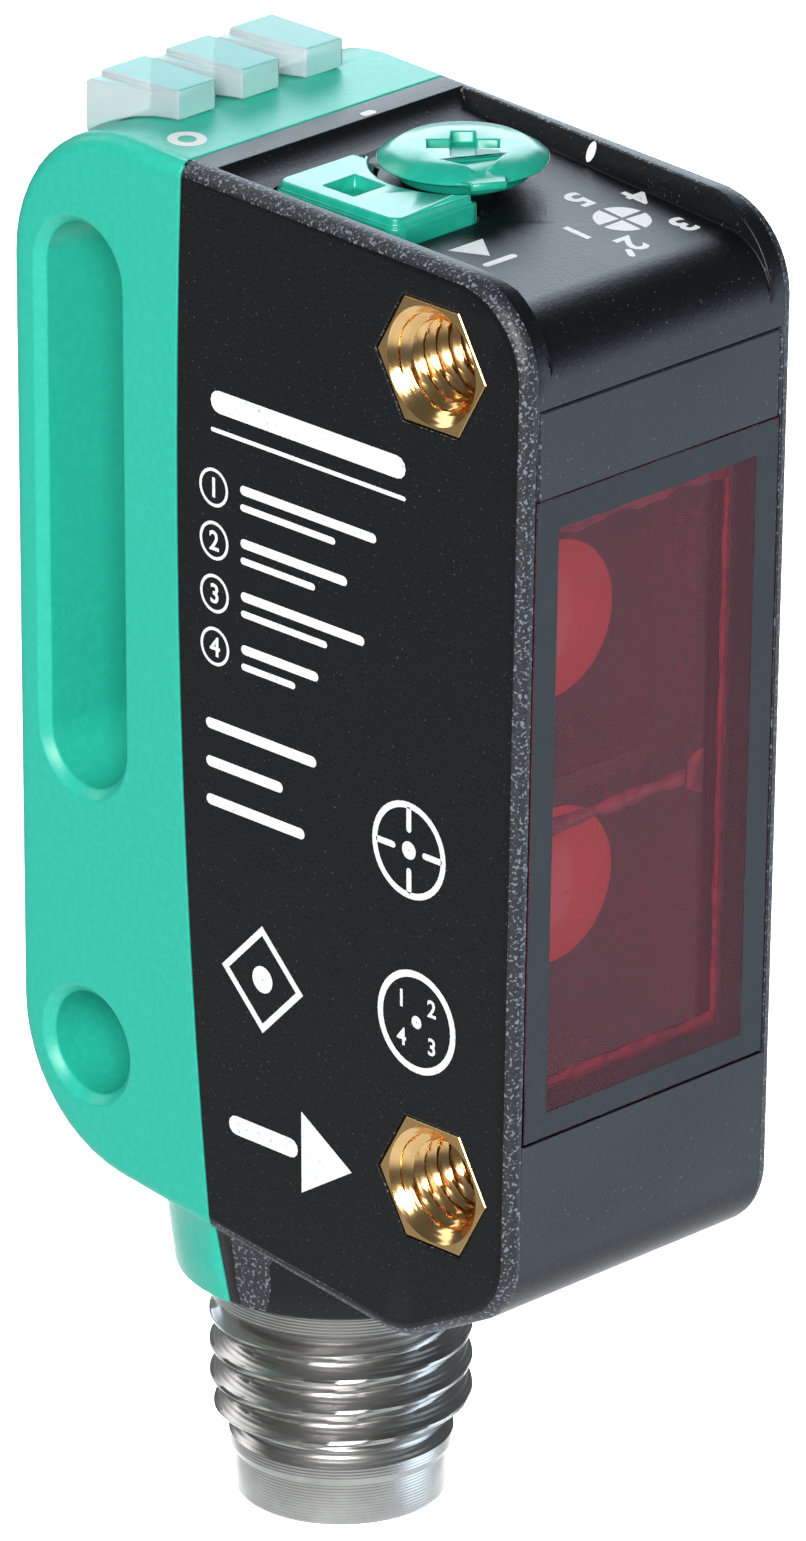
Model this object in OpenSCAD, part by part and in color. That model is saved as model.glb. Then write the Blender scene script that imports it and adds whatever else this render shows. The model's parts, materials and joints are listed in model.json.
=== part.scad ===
// Miniature photoelectric sensor with a threaded 4-pin plug.
// Frame: +X across the body, -Y is the optical front, +Z up. The origin is on the axis of the
// lower mounting insert, in the middle of the body's width. Millimetres.

/* [Body] */
// Width of the body across its two flat sides
body_w = 11; // [10:0.1:14]
// Distance between the two threaded mounting inserts
insert_pitch = 25.4; // [24:0.1:34]
// Depth from the insert axis to the front face, at mid height
front_depth = 3.5; // [3:0.1:6]
// Depth from the insert axis to the rear face
rear_depth = 17.45; // [17:0.05:24]
// Height of the top surface above the upper insert, measured at the insert
top_above_insert = 3.15; // [2.9:0.05:5]
// Depth of the bottom surface below the lower insert, measured at the insert
bottom_below_insert = 5.56; // [5.2:0.05:8]
// Backward lean of the front face from top to bottom, in degrees
front_lean = 1.5; // [0:0.1:3]
// Rise of the top surface from front to rear, in degrees
top_rise = 2.2; // [0:0.1:4]
// Rise of the bottom surface from front to rear, in degrees
bottom_rise = 7; // [0:0.5:9]
// Radius of the front top corner
front_top_r = 2.8; // [1.5:0.1:3.2]
// Radius of the rear top corner
rear_top_r = 4.7; // [3:0.1:5]
// Radius of the rear bottom corner
rear_bottom_r = 4.8; // [3:0.1:5.2]
// Radius of the front bottom corner
front_bottom_r = 2.4; // [1.5:0.1:3]
// Depth of the sloping front part of the bottom below the lower insert's axis
ramp_below_insert = 4.73; // [4.6:0.01:5]
// Slope of the front part of the bottom, in degrees
ramp_slope = 27; // [20:1:32]
// Rounding of the edges around both side faces
edge_r = 0.5; // [0.2:0.05:0.8]
// Wall thickness of the housing and the cover
wall = 1; // [0.8:0.05:1.2]
// Thickness of the front wall that carries the window
front_wall = 1.7; // [1.5:0.05:2]
// Gap left by the weld between housing and cover
seam_gap = 0.05; // [0.02:0.01:0.1]
// Depth of the seam behind the insert axis, at its furthest point
seam_y = 10.45; // [10:0.05:11]
// Radius of the seam's gentle curve, seen from the side
seam_r = 215; // [180:5:400]
// Cross-section of the cover gasket
gasket_t = 0.4; // [0.3:0.05:0.5]

/* [Mounting inserts] */
// Distance across the flats of the brass hexagon inserts
insert_af = 3.88; // [3.6:0.02:4.4]
// Minor radius of the insert's thread
insert_bore_r = 1.25; // [1.2:0.01:1.3]
// Mouth radius of the insert's countersink
insert_sink_r = 1.75; // [1.6:0.05:1.8]
// How far the insert's end faces lie below the side faces
insert_recess = 0.05; // [0:0.01:0.1]
// Radius of the plastic boss that is moulded round each insert
insert_boss_r = 2.7; // [2.55:0.05:2.9]

/* [Rear mounting slot] */
// Distance of the slot and the rear hole behind the insert axis
slot_y = 14.55; // [14.2:0.05:15]
// Half width of the slot, and radius of the rear hole
slot_r = 1.6; // [1.55:0.05:1.7]
// Height of the slot's centre above the lower insert
slot_z = 17.05; // [16:0.05:18]
// End-to-end length of the slot
slot_len = 17.7; // [14:0.1:17.8]
// Wall between the slot and the electronics space
tunnel_wall = 0.8; // [0.6:0.05:0.9]
// Lead-in chamfer of the slot and the rear hole
slot_lead = 0.3; // [0.1:0.05:0.4]

/* [Window and optics] */
// Width of the front window
window_w = 9.85; // [8.9:0.05:9.9]
// Height of the front window
window_h = 20; // [19:0.1:20.4]
// Height of the window's centre below the middle between the inserts
window_drop = 0.6; // [0.3:0.05:0.9]
// Thickness of the window plate
window_t = 0.9; // [0.7:0.05:1]
// Gap around the window plate
window_gap = 0.05; // [0.02:0.01:0.1]
// Thickness of the window's adhesive seal
window_seal_t = 0.1; // [0.05:0.01:0.15]
// Width of the ledge that the window is bonded to
ledge_w = 0.8; // [0.7:0.05:0.9]
// Distance of the receiver axis below the middle of the window
receiver_drop = 4.4; // [4.2:0.05:4.6]
// Distance between the receiver axis and the emitter axis
optic_pitch = 8.3; // [8:0.05:8.5]
// Radius of both lenses
lens_r = 2.4; // [1.9:0.05:3]
// Thickness of each lens at its edge
lens_edge = 0.7; // [0.5:0.05:0.9]
// Bulge of each lens at its middle
lens_bulge = 0.55; // [0.3:0.05:0.7]
// Depth of the lens plane behind the insert axis
lens_y = 0.5; // [0.4:0.05:1]
// Outer wall of the optics carrier
carrier_wall = 0.35; // [0.25:0.05:0.4]
// Thickness of the rib between emitter and receiver
divider_t = 0.5; // [0.4:0.05:0.8]

/* [Controls] */
// Radius of the mode knob
knob_r = 2.5; // [2.2:0.05:2.6]
// Offset of the knob's axis from the middle of the width
knob_x = 0.8; // [0.7:0.05:1]
// Distance of the knob's axis behind the insert axis
knob_y = 5; // [4.9:0.05:5.2]
// Radius of the knob's shaft
shaft_r = 1; // [0.9:0.05:1.1]
// Radial running clearance of the knob's shaft and the button's stem
run_clear = 0.05; // [0.02:0.01:0.09]
// Width of the teach button across the body
button_w = 3.5; // [3.2:0.05:3.6]
// Length of the teach button from front to rear
button_l = 5.1; // [4.8:0.05:5.2]
// Gap between the button and its pocket
button_gap = 0.12; // [0.08:0.01:0.2]
// Radius of the button's stem
stem_r = 0.7; // [0.6:0.05:0.8]
// Travel of the button and the key switch below it
button_travel = 0.3; // [0.2:0.05:0.35]
// Depth of the control panel below the side rims
panel_depth = 0.8; // [0.5:0.05:0.9]

/* [Indicator windows] */
// Distance between neighbouring indicator windows
light_pitch = 2.57; // [2.4:0.01:2.8]
// Width of each window at its front
light_w = 1.55; // [1.3:0.05:1.7]
// Sideways flare of each window at its rear
light_flare = 0.8; // [0:0.05:0.85]
// Length of each window from front to rear
light_l = 3.05; // [2.6:0.05:3.2]
// Height of each window above the cover
light_h = 0.95; // [0.6:0.05:1.2]

/* [Plug] */
// Distance of the plug's axis behind the insert axis
plug_y = 9.4; // [9.3:0.05:9.6]
// Outer radius of the plug's thread
thread_r = 3.95; // [3.9:0.01:4]
// Length of the threaded stretch
thread_len = 3.5; // [3:0.1:5]
// Pitch of the plug's thread
thread_pitch = 1; // [0.75:0.25:1]
// Radius of the smooth sleeve below the thread
sleeve_r = 3.38; // [3.3:0.01:3.5]
// Length of the smooth sleeve
sleeve_len = 2.6; // [2.4:0.1:4]
// Radius of the plug's cavity
plug_bore_r = 2.75; // [2.7:0.01:2.9]
// Radius of each contact pin
pin_r = 0.5; // [0.4:0.05:0.5]
// Radius of the neck between the body and the plug
neck_r = 4.95; // [4.8:0.05:5]
// Height of the neck's lower edge below the lower insert
neck_drop = 6.8; // [6.6:0.05:7.4]

/* [Electronics] */
// Thickness of both circuit boards
board_t = 0.8; // [0.6:0.05:1]
// Gap between the edges of internal parts and the walls
inner_gap = 0.15; // [0.1:0.01:0.2]

/* [Hidden] */
$fn = 64;
eps = 0.01;
far = 60;

half_w = body_w / 2;
mid_z = insert_pitch / 2;
inner_half = half_w - wall;

// Each boundary line of the side profile: inward normal (y, z) and its distance from the origin.
top_z = insert_pitch + top_above_insert;
front_line = [cos(front_lean), sin(front_lean),
              -cos(front_lean) * front_depth + sin(front_lean) * mid_z];
top_line = [sin(top_rise), -cos(top_rise), -cos(top_rise) * top_z];
rear_line = [-1, 0, -rear_depth];
bottom_line = [-sin(bottom_rise), cos(bottom_rise), -cos(bottom_rise) * bottom_below_insert];
ramp_line = [sin(ramp_slope), cos(ramp_slope), -cos(ramp_slope) * ramp_below_insert];
ramp_r = 3;

function corner_centre(a, b, r) =
    let (det = a[0] * b[1] - a[1] * b[0])
    [((a[2] + r) * b[1] - (b[2] + r) * a[1]) / det,
     (a[0] * (b[2] + r) - b[0] * (a[2] + r)) / det];

body_corners = [
    [corner_centre(front_line, top_line, front_top_r), front_top_r],
    [corner_centre(top_line, rear_line, rear_top_r), rear_top_r],
    [corner_centre(rear_line, bottom_line, rear_bottom_r), rear_bottom_r],
    [corner_centre(bottom_line, ramp_line, ramp_r), ramp_r],
    [corner_centre(ramp_line, front_line, front_bottom_r), front_bottom_r],
];

// Points on an arc in the plane of the side profile, from angle a0 to a1, in n steps.
function arc(centre, r, a0, a1, n) =
    [for (i = [0:n]) centre + r * [cos(a0 + (a1 - a0) * i / n), sin(a0 + (a1 - a0) * i / n)]];

function top_at(y) = top_z + y * tan(top_rise);
function bottom_at(y) = -bottom_below_insert + y * tan(bottom_rise);
function seam_at(z) = seam_y - (z - seam_z) * (z - seam_z) / (2 * seam_r);

seam_rise = 5.1;
seam_z = mid_z + seam_rise;
seam_fn = 720;

// Control panel: a floor that is steeper than the rims, and its rear wall under the ledge.
panel_rise = 4.5;
panel_edge_land = 0.05;
panel_half = half_w - 2 * edge_r - panel_edge_land;
panel_rear_y = 8.7;
panel_rim_slope = 0.5;
panel_corner_r = 1.9;
panel_floor_y = 5;
panel_middle_rise = 0.16;
panel_floor_z = top_at(panel_floor_y) - panel_depth + panel_middle_rise;
function panel_at(y) = panel_floor_z + (y - panel_floor_y) * tan(panel_rise);

// Heights of the deck under the panel and of what stands on it.
deck_t = 2.12;
pocket_floor_t = 0.65;
button_end_gap = 0.1;
button_below_rim = 0.05;
knob_over_button = 0.1;
deck_under_z = panel_floor_z - deck_t;
pocket_floor_z = deck_under_z + pocket_floor_t;
button_base_z = pocket_floor_z + button_travel + button_end_gap;
button_top_z = top_at(panel_floor_y) - button_below_rim;
knob_base_z = button_top_z + knob_over_button;
knob_hub_r = 1.95;
knob_rim_t = 0.1;
knob_bevel = 0.6;
knob_dome = 0.36;
knob_pointer_w = 1.1;
knob_pointer_out = 0.28;
knob_pointer_t = 0.22;
knob_pointer_angle = 241;
knob_arrow_w = 1.8;
knob_arrow_depth = 0.12;
knob_arrow_gap = 0.1;
knob_arrow_edge = 0.2;
knob_cross_w = 0.7;
knob_cross_l = 2.1;
knob_cross_depth = 0.35;

button_side_gap = 0.35;
button_front = 2.25;
button_x0 = -inner_half + button_side_gap;
button_y0 = knob_y - button_front;
button_corner_r = 0.45;
button_bevel = 0.25;
button_arc_r = knob_r + button_gap;
pit_w = 1.3;
pit_depth = 0.4;
pit_shift = 0.5;
stem_inset = 1.35;
stem_x = button_x0 + stem_inset;
stem_y = button_y0 + button_l / 2;

// Boards and switches, from the deck downwards.
switch_h = 1.7;
switch_w = 3.6;
switch_gap = 0.2;
top_board_top = deck_under_z - switch_gap - switch_h;
top_board_gap = 0.5;
top_board_rear_gap = 0.35;
top_board_y0 = insert_boss_r + top_board_gap;
tunnel_front_y = slot_y - slot_r - tunnel_wall;
top_board_y1 = tunnel_front_y - top_board_rear_gap;
key_body = [2.7, 3, 1.1];
plunger_r = 0.55;
plunger_h = 0.75;
plunger_above = 0.4;
plunger_z1 = top_board_top + key_body[2] + plunger_above;
key_floor = 0.15;
rotor_r = 1.15;
rotor_floor = 0.4;
rotor_gap = 0.05;
blade_fit = 0.1;
blade_t = 0.4;
blade_w = 1.4;
blade_drop = 0.6;

board_side_gap = 0.25;
board_w = 2 * (inner_half - board_side_gap);
main_board_y = 7.6;
main_board_z0 = -1.6;
main_board_z1 = top_board_top - board_t - inner_gap;
board_back_y = main_board_y + board_t;

header_pins_n = 6;
header_pin_pitch = 1;
header_pin_w = 0.4;
header_pin_out = 0.3;
header_end = 0.4;
header_l = header_pins_n * header_pin_pitch + header_end;
header_depth = 1.5;
header_y = board_back_y + header_depth / 2;
header_h = 2;

// Optics.
receiver_z = mid_z - window_drop - receiver_drop;
emitter_z = receiver_z + optic_pitch;
divider_z = receiver_z + optic_pitch / 2;
carrier_side_gap = 0.2;
carrier_over = 0.3;
carrier_half = inner_half - carrier_side_gap;
carrier_y0 = -1.4;
carrier_y1 = 7.1;
carrier_z0 = mid_z - window_drop - window_h / 2 - carrier_over;
carrier_z1 = carrier_z0 + window_h + 2 * carrier_over;
chamber_half = carrier_half - carrier_wall;
chamber_rim = 1;
lens_seat = 0.45;
tunnel_r = lens_r - lens_seat;
lens_gap = 0.03;
window_z = -window_drop;
window_recess = 0.03;
field_h = 2.75;
groove_w = 0.07;

// Parts on the main board: size across, depth and height.
shield_size = [6.2, 1.5, 7];
shield_t = 0.15;
shield_rise = 0.5;
shield_z = receiver_z + shield_rise;
capacitor = [0.8, 0.7, 1.4];
capacitor_x = 3.4;
capacitor_pitch = 2.4;
capacitor_rise = 0.6;
controller = [4, 0.9, 4];
controller_rise = 0.8;
driver = [3, 1, 2];
driver_rise = 3;
driver_z = main_board_z0 + driver_rise;
amplifier = [3, 0.9, 3];
emitter_package = [1.8, 0.9, 1.8];
emitter_dome_r = 0.6;
receiver_package = [2.4, 0.8, 2.4];

// Indicator light guides.
light_y0 = 12.5;
light_foot_gap = 0.3;
light_foot_under = 0.08;
light_foot_t = 0.9;
light_neck_inset = 0.15;
light_neck_y = 0.2;
light_foot_y0 = seam_y + light_foot_gap;
light_leg = 1;
light_names = ["left", "middle", "right"];
tunnel_top_z = slot_z + slot_len / 2 + tunnel_wall;
light_foot_z1 = top_at(light_y0) - wall - light_foot_under;
light_foot_z0 = light_foot_z1 - light_foot_t;
light_shoulder = 0.17;
light_neck_l = 1.1;
light_gap = 0.04;
indicator_h = 0.6;
indicator_w = 1;
indicator_l = 0.8;
indicator_gap = 0.1;

// Plug, measured down from the neck.
neck_z = -neck_drop;
neck_flare = 0.35;
neck_top_r = neck_r + neck_flare;
neck_chamfer = 0.3;
plug_seat = 0.5;
plug_top_z = bottom_at(plug_y) + plug_seat;
collar_out = 0.25;
collar_r = thread_r + collar_out;
collar_rise = 0.7;
collar_z0 = neck_z + collar_rise;
collar_clear = 0.05;
shank_len = 1.1;
shank_z = neck_z - shank_len;
relief_len = 0.4;
relief_depth = 0.5;
relief_r = thread_r - relief_depth;
thread_z1 = shank_z - relief_len;
thread_z0 = thread_z1 - thread_len;
undercut_depth = 0.3;
undercut_taper = 0.4;
undercut_r = sleeve_r - undercut_depth;
undercut_len = 0.4;
plug_z0 = thread_z0 - sleeve_len;
tip_land = 0.35;
tip_chamfer = 0.15;
snap_rise = 1.5;
snap_z = plug_z0 + snap_rise;
snap_depth = 0.12;
key_w = 0.8;
key_depth = 0.25;
key_l = 2;
insert_face_depth = 5.4;
pin_tip_depth = 1;
pin_tip_taper = 0.3;
pin_out = 1.3;
insert_face_z = plug_z0 + insert_face_depth;
pin_tip_z = plug_z0 + pin_tip_depth;
pin_top_z = plug_top_z + pin_out;
pin_places = [[-1.25, -1.15], [1.25, -1.15], [1.25, 1.15], [-1.25, 1.15]];
pin_fit = 0.02;
thread_form = 0.55;
thread_crest_gap = 0.02;
thread_depth = thread_form * thread_pitch;
thread_turns = floor(thread_len / thread_pitch);
// Crest, flank and root points of the thread rings, from the sleeve up to the relief.
thread_profile = [
    [undercut_r, thread_z0 - 0.05],
    for (i = [0:thread_turns - 1], p = [[-1, 0], [0, 0.4], [0, 0.6], [-1, 1]])
        [thread_r + p[0] * thread_depth,
         thread_z1 - (thread_turns - i - p[1]) * thread_pitch - (p[1] == 1 ? thread_crest_gap : 0)],
    [relief_r, thread_z1],
];
plug_ring_r = 0.22;
plug_groove_half = 0.3;
plug_groove_depth = 0.45;
plug_ring_z = (plug_top_z + collar_z0) / 2;
lead_r = 0.22;
lead_gap = 0.02;
lead_rises = [0.4, 0.4, 0.7, 0.7];
lead_y = board_back_y + lead_r + lead_gap;
lead_x = [-1.25, 1.25, 0.5, -0.5];
lead_overlap = 1.5;
lead_top_z = main_board_z0 + lead_overlap;
lead_stub = 0.35;

gasket_inset = 0.35;
gasket_foot = 0.65;
gasket_head = 0.5;
floor_t = 1.2;
floor_z = bottom_at(seam_at(0)) + floor_t;

// Core-out of the cover between the slot and the rear hole, and the loft above the slot.
core_skin = 0.4;
rear_skin = 1.4;
loft_past_lights = 1.6;

// O-rings of the two shafts.
seal_ring_r = 0.2;
seal_groove = 2 * seal_ring_r;
seal_groove_h = 2 * seal_ring_r + 0.04;
knob_seal_rise = 0.9;
button_seal_rise = 0.33;
knob_seal_z = deck_under_z + knob_seal_rise;
button_seal_z = deck_under_z + button_seal_rise;

// ---- Shared shapes ----

// The closed outer body, smaller by inset all round, with rounded edges at both side faces.
module envelope(inset = 0) {
    steps = 4;
    hull()
        for (corner = body_corners, i = [0:steps]) {
            a = 90 * i / steps;
            translate([0, corner[0][0], corner[0][1]])
                rotate([0, 90, 0])
                    cylinder(r = corner[1] - inset - edge_r * (1 - cos(a)),
                             h = 2 * (half_w - inset - edge_r * (1 - sin(a))),
                             center = true, $fn = 48);
        }
}

// Moves its children onto the leaning front face: local -Y points out of the face.
module on_front() {
    translate([0, -front_depth, mid_z])
        rotate([front_lean, 0, 0])
            children();
}

// A box centred in X and Z that starts at y and goes back by depth.
module plate(w, h, depth, y = 0, z = 0) {
    translate([-w / 2, y, z - h / 2]) cube([w, depth, h]);
}

// A cylinder along X through the whole body.
module across(r, y, z, h = far) {
    translate([0, y, z]) rotate([0, 90, 0]) cylinder(r = r, h = h, center = true);
}

// Everything in front of the seam, or what lies in front of it less a shift to the rear.
module before_seam(shift = 0) {
    translate([0, seam_y - seam_r, seam_z])
        rotate([0, 90, 0])
            cylinder(r = seam_r + shift, h = far, center = true, $fn = seam_fn);
}

// The round neck that carries the plug.
module neck() {
    translate([0, plug_y, neck_z]) {
        cylinder(r1 = neck_r, r2 = neck_top_r, h = plug_top_z - neck_z);
        translate([0, 0, -neck_chamfer])
            cylinder(r1 = neck_r - 2 * neck_chamfer, r2 = neck_r, h = neck_chamfer);
    }
}

// The stepped hole for the plug, the holes for its pins and the floor above them.
module plug_hole() {
    translate([0, plug_y, 0]) {
        translate([0, 0, collar_z0 - collar_clear])
            cylinder(r = collar_r + collar_clear, h = plug_top_z - collar_z0 + 2 * collar_clear);
        translate([0, 0, neck_z - 1])
            cylinder(r = thread_r + collar_clear, h = collar_z0 - neck_z + 1);
        for (p = pin_places)
            translate([p[0], p[1], plug_top_z])
                cylinder(r = pin_r + 2 * collar_clear, h = 3, $fn = 32);
    }
}

module hexagon_bar(af, h) {
    rotate([90, 0, 90]) cylinder(r = af / sqrt(3), h = h, center = true, $fn = 6);
}

// ---- Housing and cover ----

module control_panel_cut() {
    floor_line = [sin(panel_rise), -cos(panel_rise),
                  sin(panel_rise) * panel_floor_y - cos(panel_rise) * panel_floor_z];
    centre = corner_centre(front_line, floor_line, panel_corner_r);
    above = 5;
    intersection() {
        rotate([90, 0, 90])
            linear_extrude(far, center = true)
                polygon(concat(
                    [[-front_depth - 4, mid_z], [-front_depth - 4, top_z + above],
                     [panel_rear_y + panel_rim_slope, top_z + above],
                     [panel_rear_y + panel_rim_slope, top_at(panel_rear_y) - 0.1],
                     [panel_rear_y, panel_at(panel_rear_y)]],
                    arc(centre, panel_corner_r, 90 + panel_rise, 180 + front_lean, 12),
                    [[-front_depth - 0.001, mid_z]]));
        translate([0, 0, panel_floor_z])
            rotate([90, 0, 0])
                linear_extrude(far, center = true)
                    polygon([[-panel_half, -far], [panel_half, -far], [panel_half, 0],
                             [panel_half + panel_rim_slope, panel_depth],
                             [panel_half + panel_rim_slope, far],
                             [-panel_half - panel_rim_slope, far],
                             [-panel_half - panel_rim_slope, panel_depth],
                             [-panel_half, 0]]);
    }
}

module button_outline(grow = 0) {
    difference() {
        hull()
            for (x = [button_x0 + button_corner_r, button_x0 + button_w - button_corner_r],
                 y = [button_y0 + button_corner_r, button_y0 + button_l - button_corner_r])
                translate([x, y]) circle(r = button_corner_r + grow, $fn = 32);
        translate([knob_x, knob_y]) circle(r = button_arc_r - grow);
    }
}

module window_cut() {
    on_front() {
        plate(window_w + 2 * window_gap, window_h + 2 * window_gap,
              window_recess + window_t + window_seal_t + 2, -2, window_z);
        plate(window_w - 2 * ledge_w, window_h - 2 * ledge_w, front_wall + 2, -1, window_z);
    }
}

// Hairline grooves that frame the blank field above the window.
module field_groove() {
    window_top = window_z + window_h / 2;
    on_front() {
        plate(window_w, groove_w, 1, -1 + groove_w, window_top + field_h);
        for (side = [-1, 1])
            translate([side * (window_w - groove_w) / 2 - groove_w / 2, -1 + groove_w, window_top])
                cube([groove_w, 1, field_h]);
    }
}

module housing_cavity() {
    difference() {
        intersection() {
            envelope(wall);
            on_front() translate([-far / 2, front_wall, -far / 2]) cube(far);
            translate([-far / 2, -far / 2, floor_z]) cube([far, far, deck_under_z - floor_z]);
        }
        for (z = [0, insert_pitch]) across(insert_boss_r, 0, z);
    }
}

module front_housing() {
    color("#15171c")
    difference() {
        intersection() {
            union() {
                envelope();
                neck();
            }
            before_seam();
        }
        housing_cavity();
        control_panel_cut();
        window_cut();
        field_groove();
        for (z = [0, insert_pitch]) translate([0, 0, z]) hexagon_bar(insert_af, far);
        translate([knob_x, knob_y, deck_under_z - 1]) cylinder(r = shaft_r + run_clear, h = far);
        translate([stem_x, stem_y, deck_under_z - 1]) cylinder(r = stem_r + run_clear, h = far);
        translate([0, 0, pocket_floor_z]) linear_extrude(far) button_outline(button_gap);
        plug_hole();
    }
}

module rounded_slot(r, h) {
    for (z = [-1, 1]) across(r, slot_y, slot_z + z * (slot_len / 2 - slot_r), h);
    translate([-h / 2, slot_y - r, slot_z - slot_len / 2 + slot_r])
        cube([h, 2 * r, slot_len - 2 * slot_r]);
}

module slot_lead_in() {
    for (side = [-1, 1])
        translate([side * half_w, 0, 0])
            rotate([0, side * 90, 0])
                for (z = [slot_z - slot_len / 2 + slot_r, slot_z + slot_len / 2 - slot_r, 0])
                    translate([-side * z, slot_y, -slot_lead])
                        cylinder(r1 = slot_r, r2 = slot_r + slot_lead + eps, h = slot_lead + eps);
    for (side = [-1, 1])
        translate([0, slot_y, slot_z - slot_len / 2 + slot_r])
            linear_extrude(slot_len - 2 * slot_r)
                polygon([[side * (half_w + eps), -slot_r - slot_lead - eps],
                         [side * (half_w - slot_lead), -slot_r],
                         [side * (half_w - slot_lead), slot_r],
                         [side * (half_w + eps), slot_r + slot_lead + eps]]);
}

// Room in the cover: the electronics space, the loft above the slot and a core-out between
// the slot and the rear hole.
module cover_cavity() {
    core_z0 = slot_r + tunnel_wall + core_skin;
    core_z1 = slot_z - slot_len / 2 - tunnel_wall;
    intersection() {
        envelope(wall);
        union() {
            translate([-far / 2, 0, floor_z]) cube([far, tunnel_front_y, far]);
            translate([-far / 2, 0, tunnel_top_z]) cube([far, light_y0 + loft_past_lights, far]);
            translate([-far / 2, 0, core_z0])
                cube([far, rear_depth - rear_skin, core_z1 - core_z0]);
        }
    }
}

module gasket_ring(grow = 0) {
    outer_x = half_w - gasket_inset + grow;
    z0 = bottom_at(seam_at(0)) + gasket_foot - grow;
    z1 = top_at(seam_y) - gasket_head + grow;
    inner_x = outer_x - gasket_t - 2 * grow;
    difference() {
        translate([-outer_x, 0, z0]) cube([2 * outer_x, 20, z1 - z0]);
        translate([-inner_x, -1, z0 + gasket_t + 2 * grow])
            cube([2 * inner_x, 22, z1 - z0 - 2 * gasket_t - 4 * grow]);
    }
}

module rear_cover() {
    color("#45c8b0")
    difference() {
        union() {
            envelope();
            neck();
        }
        before_seam(seam_gap);
        cover_cavity();
        intersection() {
            gasket_ring(eps);
            before_seam(seam_gap + gasket_t + eps);
        }
        rounded_slot(slot_r, far);
        across(slot_r, slot_y, 0);
        slot_lead_in();
        for (i = [0:2]) light_window_hole(i);
        plug_hole();
    }
}

module cover_seal() {
    color("#2b2d30")
    difference() {
        intersection() {
            gasket_ring();
            before_seam(seam_gap + gasket_t);
        }
        before_seam(seam_gap / 5);
    }
}

// ---- Mounting inserts ----

module threaded_insert(z) {
    length = body_w - 2 * insert_recess;
    sink = insert_sink_r - insert_bore_r;
    color("#c79a4b")
    translate([0, 0, z])
        difference() {
            hexagon_bar(insert_af, length);
            across(insert_bore_r, 0, 0);
            for (side = [-1, 1])
                rotate([0, side * 90, 0])
                    translate([0, 0, length / 2 - sink])
                        cylinder(r1 = insert_bore_r, r2 = insert_sink_r + eps, h = sink + eps);
        }
}

// ---- Window and optics ----

module front_window() {
    color("#7a1226")
    on_front() plate(window_w, window_h, window_t, window_recess, window_z);
}

module window_seal() {
    color("#101114")
    on_front()
        difference() {
            plate(window_w, window_h, window_seal_t, window_recess + window_t, window_z);
            plate(window_w - 2 * ledge_w, window_h - 2 * ledge_w, 4, -1, window_z);
        }
}

// A cylinder along Y from y0 to y1.
module bore_y(r, z, y0, y1) {
    translate([0, y0, z]) rotate([-90, 0, 0]) cylinder(r = r, h = y1 - y0);
}

module optics_carrier() {
    color("#1b1c20")
    difference() {
        translate([-carrier_half, carrier_y0, carrier_z0])
            cube([2 * carrier_half, carrier_y1 - carrier_y0, carrier_z1 - carrier_z0]);
        for (z = [0, insert_pitch]) across(insert_boss_r + 0.1, 0, z);
        translate([-chamber_half, carrier_y0 - 1, carrier_z0 + chamber_rim])
            cube([2 * chamber_half, lens_y - carrier_y0 + 1,
                  divider_z - divider_t / 2 - carrier_z0 - chamber_rim]);
        translate([-chamber_half, carrier_y0 - 1, divider_z + divider_t / 2])
            cube([2 * chamber_half, lens_y - carrier_y0 + 1,
                  carrier_z1 - chamber_rim - divider_z - divider_t / 2]);
        for (z = [receiver_z, emitter_z]) {
            bore_y(lens_r + lens_gap, z, lens_y - 1, lens_y + lens_edge);
            bore_y(tunnel_r, z, 0, far);
        }
    }
}

module lens(z, tint) {
    sphere_r = (lens_r * lens_r + lens_bulge * lens_bulge) / (2 * lens_bulge);
    color(tint)
    translate([0, lens_y, z])
        rotate([-90, 0, 0])
            union() {
                cylinder(r = lens_r, h = lens_edge);
                intersection() {
                    translate([0, 0, sphere_r - lens_bulge]) sphere(r = sphere_r, $fn = 96);
                    translate([0, 0, -lens_bulge - 1]) cylinder(r = lens_r, h = lens_bulge + 1);
                }
            }
}

module emitter_led() {
    front = main_board_y - emitter_package[1];
    color("#d9c9a8")
    union() {
        plate(emitter_package[0], emitter_package[2], emitter_package[1], front, emitter_z);
        translate([0, front, emitter_z]) sphere(r = emitter_dome_r, $fn = 32);
    }
}

module receiver_diode() {
    color("#3a2f48")
    plate(receiver_package[0], receiver_package[2], receiver_package[1],
          main_board_y - receiver_package[1], receiver_z);
}

// ---- Boards ----

module main_board() {
    color("#1f6b3a")
    plate(board_w, main_board_z1 - main_board_z0, board_t, main_board_y,
          (main_board_z0 + main_board_z1) / 2);
}

module board_chip(size, x, z) {
    color("#1c1d20")
    translate([x - size[0] / 2, board_back_y, z - size[2] / 2]) cube(size);
}

module receiver_shield() {
    color("#b9bcc0")
    translate([-shield_size[0] / 2, board_back_y, shield_z - shield_size[2] / 2])
        difference() {
            cube(shield_size);
            translate([shield_t, -1, shield_t])
                cube([shield_size[0] - 2 * shield_t, shield_size[1] - shield_t + 1,
                      shield_size[2] - 2 * shield_t]);
        }
}

module board_capacitors() {
    color("#b08d5a")
    for (x = [-1, 1], i = [0:2])
        translate([x * capacitor_x - capacitor[0] / 2, board_back_y,
                   shield_z + shield_size[2] / 2 + capacitor_rise + i * capacitor_pitch])
            cube(capacitor);
}

module header_pin_row(w, z0, z1) {
    for (i = [0:header_pins_n - 1])
        translate([(i - (header_pins_n - 1) / 2) * header_pin_pitch - w / 2, header_y - w / 2, z0])
            cube([w, w, z1 - z0]);
}

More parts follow.
